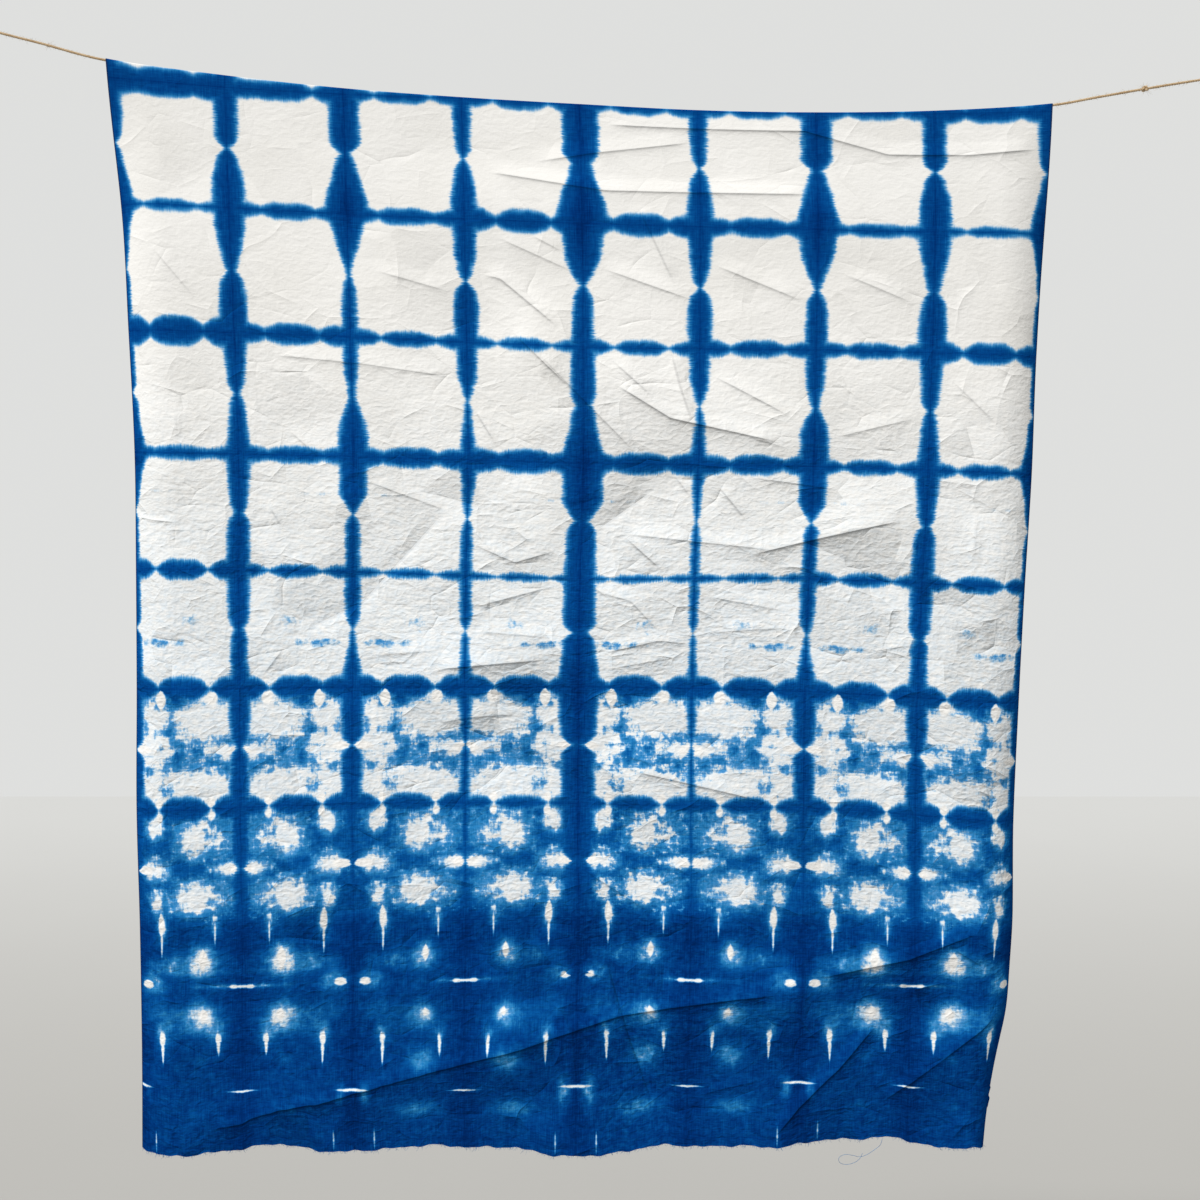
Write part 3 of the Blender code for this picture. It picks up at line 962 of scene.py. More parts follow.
    def kept(self, at: PatternPlace, resist: Signal, upright: Signal, grain: Grain) -> Signal:
        """What the clamped folds kept from the dye.

        Args:
            at: Where the point lies.
            resist: How far inside the mesh's own kept places the point is.
            upright: How far inside a band it is: a band's pinch runs through kept places.
            grain: How unevenly the dye took.

        Returns:
            The share that is kept.
        """
        resist = resist.least(upright * -1.0)
        for drop_across, drop_row, half_across, half_down in self.drops:
            aside = (at.across - drop_across).size() * (1.0 / half_across)
            along = (at.down - drop_row) * (1.0 / half_down)
            if half_across > half_down:
                away = aside * aside + along.size()
            else:
                away = aside + along * along
            resist = resist.most((away * -1.0 + 1.0) * min(half_across, half_down))
        return (resist + grain.whole * self.kept_grain).step(*self.kept_edge)

    def ink(self, dyer: Dyer, at: PatternPlace) -> Signal:
        """How deep the dye is.

        Args:
            dyer: The maker of the material's nodes.
            at: Where the point lies.

        Returns:
            The depth, from 0 to 1.
        """
        _, wet, resist = dyer.attribute("stain")
        upright, inside = self.printed(dyer, at)
        grain = self.grain(dyer, at)

        pale, edge, middle = self.band_depths
        deep = inside.step(0.0, 0.060) * edge + inside.step(0.05, 0.21) * middle
        bands = inside.step(-self.feather, self.feather)
        band_tone = bands * (deep + pale + grain.own * 0.16)

        soaked = wet + grain.whole * at.mottle * wet.step(-0.05, 0.32, 0.22, 1.0)
        settled = wet * wet * self.seep_depths[1] + self.seep_depths[0]
        seep_tone = soaked.step(0.08, 0.64) * (settled + grain.blotch * 0.34 + grain.own * 0.22)
        faint = grain.own * 0.10 + grain.level * 0.08 + self.faint_depth
        tone = band_tone.most(seep_tone).most(faint * at.down.step(1.5, 5.5))

        streak = dyer.drawn_out(at.column, at.row, (150.0, 5.0), 1.0)
        slub = dyer.drawn_out(at.column, at.row, (6.0, 150.0), 1.0)
        fold_line = at.beside.step(0.0, 0.014, 1.0, 0.0) + at.under.step(0.0, 0.010, 1.0, 0.0)
        tone = tone + tone * (streak * 0.36 + slub * 0.26 + fold_line * 0.07)
        kept = self.kept(at, resist, upright, grain)
        return (tone * (kept * -self.kept_share + 1.0)).most(0.0).least(1.0)

    def creases(self, dyer: Dyer) -> tuple[Signal, Signal]:
        """The sharp creases that the mesh carries.

        Args:
            dyer: The maker of the material's nodes.

        Returns:
            Their height, from 0 to 1, and how dark the painted shade line along each is.
        """
        slow, fast = self.crease_sides
        aside, width = self.crease_shade_line
        total = None
        line = None
        for offset, depth in zip(dyer.attribute("crease_at"), dyer.attribute("crease_depth")):
            away = (offset * slow).most(offset * fast)
            crease = (away * -1.0).math("EXPONENT") * depth
            total = crease if total is None else total + crease
            # Painted shade: a dark line just beside each crease, as strong as the crease is deep
            shade = (offset + aside).size().step(0.0, width, 1.0, 0.0) * depth.size()
            line = shade if line is None else line.most(shade)
        return total, line

    def crumple(self, dyer: Dyer, at: PatternPlace, creases: Signal) -> Signal:
        """The surface's direction, with creases, flat crumpled facets and weave.

        Args:
            dyer: The maker of the material's nodes.
            at: Where the point lies.
            creases: The height of the listed creases.

        Returns:
            The shader's normal.
        """
        column, row = at.column, at.row
        place = dyer.place(column, row)
        stir = dyer.noise(place, 2.2, 1.0) * 0.30
        large = dyer.place(column * 1.05 + row * 0.50 + stir, row * 1.75 - column * 0.50)
        small = dyer.place(column * 2.3 - row * 1.4, row * 4.2 + column * 1.1 + stir)
        patch = dyer.noise(place, 1.1, 1.0)
        lower = at.down.step(0.6, 4.6, 0.95, 3.5)
        large_edge, large_way = dyer.net(large)
        small_edge, small_way = dyer.net(small)
        lines = (large_edge * -34.0).math("EXPONENT") * dyer.noise(place, 2.9, 0.0) * (lower + 1.0)
        lines = lines + (small_edge * -16.0).math("EXPONENT") * dyer.noise(place, 3.7, 0.0) * lower
        wrinkle = dyer.drawn_out(column, row, (7.0, 11.5)).size() * lower * -0.9
        turn = 2 * math.pi * CELL / self.thread_pitch
        weave = (column * turn).math("SINE") * (row * turn).math("SINE") * self.weave_height
        slub = dyer.drawn_out(column, row, (16.0, 200.0), 1.0, 0.5) * self.slub_height
        warp = dyer.drawn_out(column, row, (200.0, 16.0), 1.0, 0.5) * self.slub_height
        height = creases * self.crease_height + lines + wrinkle + weave + slub + warp
        normal = dyer.bump(height, 0.001)
        normal = dyer.lean(normal, large_way, patch.step(-0.25, 0.20, 0.02, 0.11))
        return dyer.lean(normal, small_way, patch.step(-0.12, 0.22, 0.03, 0.10) * lower)

    def build(self) -> bpy.types.Material:
        """Makes the cloth's material.

        Returns:
            The material.
        """
        material, dyer, shader = new_material(self.name)
        at = PatternPlace.read(dyer)
        tone = self.ink(dyer, at)
        height, line = self.creases(dyer)
        aged = dyer.noise(dyer.place(at.column, at.row), 1.3, 2.0).step(-0.2, 0.3, 0.0, 0.16)
        selvedge = at.column.size().step(*self.selvedge_columns, 0.0, self.selvedge_shade)
        colour = dyer.ramp(tone, self.dye)
        colour = dyer.tint(aged * tone.step(0.0, 0.25, 1.0, 0.0), colour, self.aged_white)
        # Painted shade darkens the colour along the creases
        colour = dyer.tint(line * self.crease_shade, colour, self.crease_shadow)
        dyer.tint(selvedge, colour, self.selvedge_blue).into(shader.inputs["Base Color"])
        tone.step(0.0, 1.0, *self.roughness).into(shader.inputs["Roughness"])
        self.crumple(dyer, at, height).into(shader.inputs["Normal"])
        shader.inputs["Specular IOR Level"].default_value = 0.0
        return material


@dataclass(frozen=True)
class JuteFinish:
    """Golden jute, lighter and darker in random fibres and patches."""

    name: str = "jute"
    colours: tuple[tuple[float, Triple], ...] = (
        (0.0, (0.25, 0.155, 0.075)),
        (0.35, (0.45, 0.31, 0.17)),
        (0.65, (0.60, 0.46, 0.29)),
        (1.0, (0.74, 0.62, 0.44)),
    )
    fibre_height: float = 0.00025

    def build(self) -> bpy.types.Material:
        """Makes the twine's material.

        Returns:
            The material.
        """
        material, dyer, shader = new_material(self.name, "3D")
        at = dyer.here()
        fibre = dyer.noise(at, 900.0, 3.0, 0.6)
        patch = dyer.noise(at, 45.0, 2.0, 0.5)
        tone = (fibre * 0.9 + patch * 0.7 + 0.5).most(0.0).least(1.0)
        dyer.ramp(tone, self.colours).into(shader.inputs["Base Color"])
        fibre.step(-0.4, 0.4, 0.95, 0.8).into(shader.inputs["Roughness"])
        dyer.bump(fibre, self.fibre_height).into(shader.inputs["Normal"])
        shader.inputs["Specular IOR Level"].default_value = 0.2
        shader.inputs["Sheen Weight"].default_value = 0.15
        return material


@dataclass(frozen=True)
class FrayFinish:
    """Loose blue and pale thread ends."""

    name: str = "frayed_cotton"
    dark: Triple = (0.010, 0.050, 0.17)
    light: Triple = (0.13, 0.30, 0.52)
    fibre_height: float = 0.0001

    def build(self) -> bpy.types.Material:
        """Makes the threads' material.

        Returns:
            The material.
        """
        material, dyer, shader = new_material(self.name, "3D")
        tone = dyer.noise(dyer.here(), 420.0, 2.0, 0.6) + 0.5
        colour = dyer.ramp(tone, ((0.25, self.dark), (0.75, self.light)))
        colour.into(shader.inputs["Base Color"])
        dyer.bump(tone, self.fibre_height).into(shader.inputs["Normal"])
        shader.inputs["Roughness"].default_value = 0.9
        shader.inputs["Specular IOR Level"].default_value = 0.2
        return material


def place_object(name: str, mesh: bpy.types.Mesh, material: bpy.types.Material) -> bpy.types.Object:
    """Puts a mesh in the scene as a piece that rides on the part.

    Args:
        name: The piece's name.
        mesh: Its mesh, in the part's frame.
        material: Its finish.

    Returns:
        The piece.
    """
    mesh.materials.append(material)
    item = bpy.data.objects.new(name, mesh)
    bpy.context.scene.collection.objects.link(item)
    mesh.shade_smooth()
    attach(item, "root")
    log.info("%s: %d faces", name, len(mesh.polygons))
    return item


def carried_frames(path: list[Vector]) -> Iterator[tuple[Vector, Vector, Vector]]:
    """Two directions square to a path, carried along it without a turn.

    Args:
        path: The path's points.

    Yields:
        Each point with its two directions.
    """
    normal = (path[1] - path[0]).normalized().orthogonal().normalized()
    for i, point in enumerate(path):
        ahead = path[min(i + 1, len(path) - 1)]
        behind = path[max(i - 1, 0)]
        tangent = (ahead - behind).normalized()
        normal = (normal - tangent * normal.dot(tangent)).normalized()
        yield point, normal, tangent.cross(normal)


@dataclass
class Threads:
    """Collects thin round strands into one mesh."""

    points: list[Vector] = field(default_factory=list)
    faces: list[tuple[int, ...]] = field(default_factory=list)

    def tube(self, path: list[Vector], radii: list[float], sides: int = 3) -> None:
        """Adds a tube along a path.

        Args:
            path: The tube's middle line.
            radii: Its radius at each point of the path.
            sides: How many sides it has.
        """
        start = len(self.points)
        for (point, normal, aside), radius in zip(carried_frames(path), radii):
            for side in range(sides):
                angle = 2 * math.pi * side / sides
                outward = normal * math.cos(angle) + aside * math.sin(angle)
                self.points.append(point + outward * radius)
        for i in range(len(path) - 1):
            for side in range(sides):
                a = start + i * sides + side
                b = start + i * sides + (side + 1) % sides
                self.faces.append((a, b, b + sides, a + sides))
        self.faces.append(tuple(start + side for side in reversed(range(sides))))
        last = start + (len(path) - 1) * sides
        self.faces.append(tuple(last + side for side in range(sides)))

    def mesh(self, name: str) -> bpy.types.Mesh:
        """Makes all the strands one mesh.

        Args:
            name: The mesh's name.

        Returns:
            The mesh, in the part's frame.
        """
        data = bpy.data.meshes.new(name)
        data.from_pydata([tuple(point + SHIFT) for point in self.points], [], self.faces)
        return data


@dataclass
class HangingSurface:
    """The cloth's middle surface: where each place in cells hangs."""

    half_width: float = 4.0
    turn_start: float = 3.55
    front_hem: float = 9.08
    back_hem: float = 8.75
    fold_ramp: float = 0.8
    fold_radius: float = 0.00185
    line_middle: float = -0.002
    line_cell: float = 0.1395
    hem_middle: float = -0.008
    hem_cell: float = 0.1365
    hem_turns: Point = (0.64, 2.35)
    # Height in metres, turns for each cell and start of each ripple in the hem
    hem_ripples: tuple[Triple, ...] = (
        (0.0011, 9.0, 0.6),
        (0.0009, 15.5, 2.1),
        (0.0007, 27.0, 4.4),
        (0.0005, 47.0, 1.2),
    )
    crease_height: float = 0.0020
    crease_reach: float = 0.013
    slope_step: float = 0.01
    least_turn: float = 1e-6

    def down_rows(self, first: Number, picked: list, last: Number, at: np.ndarray) -> np.ndarray:
        """Values down the cloth.

        Args:
            first: The value at the line.
            picked: The value at each section.
            last: The value at the front hem.
            at: The rows where values are wanted.

        Returns:
            The values, one row for each row wanted.
        """
        rows = [0.0] + [section.row for section in SECTIONS] + [self.front_hem]
        return smooth_values(rows, np.array([first, *picked, last]), at)

    def relief(self, columns: np.ndarray, rows: np.ndarray) -> np.ndarray:
        """How far the soft folds and swells stand towards the viewer.

        Args:
            columns: The places' columns.
            rows: Their rows.

        Returns:
            The relief in metres.
        """
        total = np.zeros(np.broadcast(columns, rows).shape)
        for fold in FOLDS:
            away = distance_to_line(columns, rows, fold.start, fold.end)[0]
            total += fold.height * np.exp(-((away / fold.reach) ** 2))
        for swell in SWELLS:
            away = np.hypot(columns - swell.centre[0], rows - swell.centre[1]) * CELL
            total += swell.height * np.exp(-((away / swell.reach) ** 2))
        return total * ease(rows / self.fold_ramp)

    def sides(self, columns: np.ndarray, rows: np.ndarray, cell: np.ndarray) -> tuple[np.ndarray, ...]:
        """The panel's breadth, with its two sides turned back in an arc.

        Args:
            columns: The columns wanted.
            rows: The rows wanted.
            cell: The cell's width at each row.

        Returns:
            How far from the middle, and how far back, each place is.
        """
        left = self.down_rows(0.0, [s.left_turn for s in SECTIONS], self.hem_turns[0], rows)
        right = self.down_rows(0.0, [s.right_turn for s in SECTIONS], self.hem_turns[1], rows)
        turn = np.where(columns[None, :] < 0, left[:, None], right[:, None]).clip(min=0.0)
        size = np.abs(columns)[None, :]
        strip = np.maximum(size - self.turn_start, 0.0) * cell
        angle = turn * strip / ((self.half_width - self.turn_start) * cell)
        turns = angle > self.least_turn
        safe = np.where(turns, angle, 1.0)
        turned = np.where(turns, strip * np.sin(safe) / safe, strip)
        back = np.where(turns, strip * (1 - np.cos(safe)) / safe, 0.0)
        flat = np.minimum(size, self.turn_start) * cell + turned
        return flat, back

    def heights(self, columns: np.ndarray, rows: np.ndarray) -> np.ndarray:
        """How high each place hangs.

        Args:
            columns: The columns wanted.
            rows: The rows wanted.

        Returns:
            The heights, by row and then by column.
        """
        route = np.array(LINE_ROUTE)
        x_at_line = self.line_middle + columns * self.line_cell
        at_line = smooth_values(list(route[:, 0]), route[:, 1], x_at_line)
        picked = [smooth_values([-4, -2, 0, 2, 4], np.array(s.heights), columns) for s in SECTIONS]
        hem = np.array(HEM)
        at_hem = smooth_values(list(hem[:, 0]), hem[:, 1], columns)
        for size, turns, start in self.hem_ripples:
            at_hem = at_hem + size * np.sin(columns * turns + start)
        return self.down_rows(at_line, picked, at_hem, rows)

    def front(self, columns: np.ndarray, rows: np.ndarray) -> np.ndarray:
        """Points of the front panel.

        Args:
            columns: The columns wanted.
            rows: The rows wanted.

        Returns:
            The points, by row and then by column.
        """
        middles = [s.middle for s in SECTIONS]
        cells = [s.cell for s in SECTIONS]
        middle = self.down_rows(self.line_middle, middles, self.hem_middle, rows)[:, None]
        cell = self.down_rows(self.line_cell, cells, self.hem_cell, rows)[:, None]
        flat, back = self.sides(columns, rows, cell)
        x = middle + np.sign(columns)[None, :] * flat
        y = back - self.fold_radius - self.relief(columns[None, :], rows[:, None])
        return np.stack((x, y, self.heights(columns, rows)), axis=-1)

    def frames(self, columns: np.ndarray, rows: np.ndarray) -> tuple[np.ndarray, ...]:
        """Points of the front panel with their directions.

        Args:
            columns: The columns wanted.
            rows: The rows wanted.

        Returns:
            The points, and the unit vectors away from the viewer and up the cloth.
        """
        step = self.slope_step
        across = self.front(columns + step, rows) - self.front(columns - step, rows)
        up = self.front(columns, np.maximum(rows - step, 0.0)) - self.front(columns, rows + step)
        away = np.cross(up, across)
        away /= np.linalg.norm(away, axis=-1, keepdims=True)
        away *= np.where(away[..., 1:2] < 0, -1.0, 1.0)
        up /= np.linalg.norm(up, axis=-1, keepdims=True)
        return self.front(columns, rows), away, up


@dataclass
class CreaseMap:
    """The sharp creases as distances that the mesh carries."""

    channels: int = 3
    reach: float = 0.10
    taper: float = 0.030
    fade: Point = (0.008, 0.018)

    def polyline(self, columns: np.ndarray, rows: np.ndarray, crease: Crease) -> tuple[np.ndarray, ...]:
        """How places lie to one crease.

        Args:
            columns: The places' columns.
            rows: Their rows.
            crease: The crease.

        Returns:
            The distance in metres, the same with its side, and the crease's depth there.
        """
        lengths = [math.dist(a, b) * CELL for a, b in zip(crease.line, crease.line[1:])]
        whole = sum(lengths)
        nearest = np.full(np.broadcast(columns, rows).shape, np.inf)
        signed = np.zeros_like(nearest)
        travelled = np.zeros_like(nearest)
        before = 0.0
        for (start, end), length in zip(zip(crease.line, crease.line[1:]), lengths):
            away, side, share = distance_to_line(columns, rows, start, end)
            closer = away < nearest
            nearest = np.where(closer, away, nearest)
            signed = np.where(closer, away * side, signed)
            travelled = np.where(closer, before + share * length, travelled)
            before += length
        ends = ease(np.minimum(travelled, whole - travelled) / min(self.taper, whole / 2.5))
        near = 1.0 - ease((nearest - self.fade[0]) / (self.fade[1] - self.fade[0]))
        return nearest, signed, ends * near * crease.depth

    def spread_out(self) -> list[int]:
        """Shares the creases out, so that those of one channel stay apart.

        Returns:
            The channel of each crease.
        """
        chosen: list[int] = []
        for crease in CREASES:
            knots = np.array(crease.line)
            shares = np.linspace(0.0, 1.0, 9)[:, None, None]
            spots = (knots[:-1] * (1 - shares) + knots[1:] * shares).reshape(-1, 2)
            room = [10.0] * self.channels
            for other, channel in zip(CREASES, chosen):
                away = self.polyline(spots[:, 0], spots[:, 1], other)[0].min()
                room[channel] = min(room[channel], float(away))
            chosen.append(room.index(max(room)))
        return chosen

    def maps(self, columns: np.ndarray, rows: np.ndarray) -> tuple[np.ndarray, np.ndarray]:
        """The nearest crease of each channel.

        Args:
            columns: The places' columns.
            rows: Their rows.

        Returns:
            Distances in metres, with their sides, and depths, three of each at every place.
        """
        shape = np.broadcast(columns, rows).shape
        nearest = np.full((*shape, self.channels), 1.0)
        signed = np.full((*shape, self.channels), self.reach)
        depth = np.zeros((*shape, self.channels))
        for channel, crease in zip(self.spread_out(), CREASES):
            away, side, strength = self.polyline(columns, rows, crease)
            closer = away < nearest[..., channel]
            for kept, found in ((nearest, away), (signed, side), (depth, strength)):
                kept[..., channel] = np.where(closer, found, kept[..., channel])
        return np.clip(signed, -self.reach, self.reach), depth


@dataclass
class DyeChart:
    """The repeat of bands and marks, worked out at every place of the mesh."""

    # The first column's band is thinner on the right of the middle, from this row down
    thinner_right: float = 0.75
    thinner_from: float = 3.0
    # Necks in millimetres that differ from the table: at the top left, and at odd columns
    top_left_neck: float = 20.0
    odd_neck: float = 4.0
    # How much larger marks are in the outer cells, by the rows from which each share holds
    outer_growth: float = 0.0
    lower_growth: float = 0.30
    lower_from: float = 7.1
    hem_growth: float = -0.75
    hem_from: float = 8.1
    outer_start: float = 1.2
    outer_span: float = 1.6
    outer_mean: float = 0.35
    # A white mark this much longer than wide is a drop or a slit with pointed ends
    slender: float = 1.5
    # How much smaller a weak white mark is, and how sharp a thin place's edge is
    weak_shrink: float = 0.02
    dry_edge: float = 2.3
    column_damp: float = 0.10
    damp_reach: float = 0.13
    damp_from: float = 6.8
    damp_span: float = 0.3
    bare: float = 0.05
    reach: float = 0.06

    def bands(self, columns: np.ndarray, rows: np.ndarray) -> np.ndarray:
        """The sizes of the column's band and the row's bar.

        Args:
            columns: The places' columns.
            rows: Their rows.

        Returns:
            Half sizes in cells of the band, its pinch and the bar.
        """
        shape = np.broadcast(columns, rows).shape
        nearest = np.rint(np.abs(columns)).astype(int).clip(0, 4)
        gap = np.floor(rows).astype(int).clip(0, 6)
        band = np.zeros(shape)
        waist = np.zeros(shape)
        for number, pairs in COLUMN_BANDS.items():
            here = nearest == number
            right = columns > 0
            thinner = (number == 1) & right & (rows > self.thinner_from)
            fuller = np.where(thinner, self.thinner_right, 1.0)
            fuller = np.where((number == 2) & right, straight_values(FULLER_RIGHT, rows), fuller)
            band = np.where(here, straight_values(pairs, rows) * fuller, band)
            waist = np.where(here, np.array(WAISTS[number])[gap], waist)
        cell = np.floor(columns + 4).astype(int).clip(0, 7)
        line = np.rint(rows).astype(int).clip(0, 7)
        bar = np.array(ROW_BARS)[line, cell]
        return np.stack((band, waist, bar), axis=-1) * HALF_MILLIMETRE

    def necks(self, columns: np.ndarray, rows: np.ndarray) -> np.ndarray:
        """Where each row pinches.

        Args:
            columns: The places' columns.
            rows: Their rows.

        Returns:
            Half heights in cells.
        """
        cell = np.floor(columns + 4).astype(int).clip(0, 7)
        neck = np.array(ROW_NECKS)[np.rint(rows).astype(int).clip(0, 7), cell]
        top_left = (rows < 0.5) & (columns > -3) & (columns < -2.5)
        neck = np.where(top_left, self.top_left_neck, neck)
        odd = (np.abs(rows - 5) < 0.5) & (from_even_column(columns) > 0.5)
        return np.where(odd, self.odd_neck, neck) * HALF_MILLIMETRE

    def growth(self, row: float) -> float:
        """How much larger marks are in the outer cells.

        Args:
            row: The marks' row.

        Returns:
            The share by which they grow.
        """
        if row > self.hem_from:
            return self.hem_growth
        return self.lower_growth if row > self.lower_from else self.outer_growth

    def ovals(self, columns: np.ndarray, rows: np.ndarray) -> tuple[np.ndarray, ...]:
        """Works out the marks.

        Args:
            columns: The places' columns.
            rows: Their rows.

        Returns:
            How wet each place is, and how far inside the kept places it is, in cells.
        """
        across = from_even_column(columns)
        outward = ease((np.abs(columns) - self.outer_start) / self.outer_span) - self.outer_mean
        still_dry = 1.0 - straight_values(WETNESS, rows)
        thinned = np.ones_like(still_dry)
        kept = np.full_like(still_dry, -self.reach)
        for mark in MARKS:
            grown = 1.0 + outward * self.growth(mark.row)
            wide = mark.half_across * grown
            tall = mark.half_down * grown
            aside = np.abs(across - mark.across) / wide
            down = np.abs(rows - mark.row) / tall
            away = np.hypot(aside, down)
            if mark.tone is Tone.WHITE:
                if mark.half_down > mark.half_across * self.slender:
                    away = aside + down**2
                elif mark.half_across > mark.half_down * self.slender:
                    away = aside**2 + down
                inside = (1.0 - away) * np.minimum(wide, tall) - (1.0 - mark.strength) * self.weak_shrink
                kept = np.maximum(kept, inside)
            elif mark.tone is Tone.WET:
                still_dry *= 1.0 - mark.strength * np.exp(-(away**2))
            else:
                share = np.clip(mark.strength * grown, 0.0, 1.0)
                thinned *= 1.0 - share * np.exp(-(away**self.dry_edge))
        damp = np.exp(-(((columns - np.rint(columns)) / self.damp_reach) ** 2))
        damp = damp * ease((rows - self.damp_from) / self.damp_span)
        wet = (1.0 - still_dry + damp * self.column_damp) * thinned
        wet = wet - (1.0 - thinned) ** 2 * self.bare
        return wet, kept.clip(max=self.reach)

    def stain(self, columns: np.ndarray, rows: np.ndarray) -> np.ndarray:
        """The row's neck, how wet the cloth got and how far inside kept places it is."""
        return np.stack((self.necks(columns, rows), *self.ovals(columns, rows)), axis=-1)


@dataclass
class DyedCloth:
    """The whole cloth: one sheet from the front hem, over the line, to the back hem."""

    surface: HangingSurface
    chart: DyeChart
    creases: CreaseMap
    columns: int = 248
    front_rows: int = 282
    arc_steps: int = 8
    back_rows: int = 95
    back_crease_share: float = 0.6

    def front(self, columns: np.ndarray, down: np.ndarray) -> np.ndarray:
        """The front panel, with the sharp creases lifted out of it as soft ridges.

        Args:
            columns: Its columns.
            down: Its rows.

        Returns:
            The points, by row and then by column.
        """
        surface = self.surface
        front, away, _ = surface.frames(columns, down)
        signed, depth = self.creases.maps(columns[None, :], down[:, None])
        lift = np.exp(-np.abs(signed) / surface.crease_reach) * depth
        lift = lift.sum(axis=-1) * ease(down / surface.fold_ramp)[:, None]
        return front - away * (lift * surface.crease_height)[..., None]

    def layout(self) -> tuple[np.ndarray, np.ndarray, np.ndarray]:
        """Where every strip's points are.

        Returns:
            The points, their (column, row) places on the dyed pattern, and which of them
            are on the front panel, all by row and then by column.
        """
        surface = self.surface
        columns = np.linspace(-surface.half_width, surface.half_width, self.columns + 1)
        down = np.linspace(surface.front_hem, 0.0, self.front_rows + 1)[:-1]
        front = self.front(columns, down)

        start, away, up = surface.frames(columns, np.array([0.0]))
        centre = start + away * surface.fold_radius
        angles = np.linspace(0.0, math.pi, self.arc_steps + 1)[:, None, None]
        arc = centre + (up * np.sin(angles) - away * np.cos(angles)) * surface.fold_radius

        under = np.linspace(0.0, surface.back_hem, self.back_rows + 1)[1:]
        over, away, _ = surface.frames(columns, under)
        back = over + away * 2 * surface.fold_radius

        shifted = straight_values(FOLD_ROW, columns)
        front_row = down[:, None] + shifted * np.clip(1.0 - down, 0.0, 1.0)[:, None]
        arc_row = shifted - angles[:, :, 0] * surface.fold_radius / CELL
        back_row = arc_row[-1:] - under[:, None]
        pattern = np.concatenate((front_row, arc_row, back_row))
        places = np.stack((np.broadcast_to(columns, pattern.shape), pattern), axis=-1)
        return np.concatenate((front, arc, back)), places, np.arange(len(pattern)) < len(down)

    def write(self, mesh: bpy.types.Mesh, name: str, values: np.ndarray) -> None:
        """Stores three numbers at every point of a mesh.

        Args:
            mesh: The mesh.
            name: The name that they are stored under.
            values: The numbers.
        """
        layer = mesh.attributes.new(name, "FLOAT_VECTOR", "POINT")
        layer.data.foreach_set("vector", np.ascontiguousarray(values, dtype=np.float32).ravel())

    def build(self, material: bpy.types.Material) -> bpy.types.Object:
        """Makes the cloth as one piece.

        Args:
            material: The dyed cotton.

        Returns:
            The piece.
        """
        points, places, on_front = self.layout()
        count_down, count_across = points.shape[:2]
        index = np.arange(count_down * count_across).reshape(count_down, count_across)
        corners = (index[:-1, :-1], index[:-1, 1:], index[1:, 1:], index[1:, :-1])
        faces = np.stack([corner.ravel() for corner in corners], axis=-1)
        mesh = bpy.data.meshes.new("dyed_cloth")
        moved = points.reshape(-1, 3) + np.array(SHIFT)
        mesh.from_pydata(moved.tolist(), [], faces.tolist())

        columns = places[..., 0]
        rows = np.abs(places[..., 1])
        mottle = straight_values(MOTTLE, rows)[..., None]
        self.write(mesh, "place", np.concatenate((places, mottle), axis=-1))
        self.write(mesh, "bands", self.chart.bands(columns, rows))
        self.write(mesh, "stain", self.chart.stain(columns, rows))
        signed, depth = self.creases.maps(columns, rows)
        share = np.where(on_front, 1.0, self.back_crease_share)[:, None, None]
        self.write(mesh, "crease_at", signed)
        self.write(mesh, "crease_depth", depth * share)
        cloth = place_object("dyed_cloth", mesh, material)
        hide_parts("cloth")
        return cloth


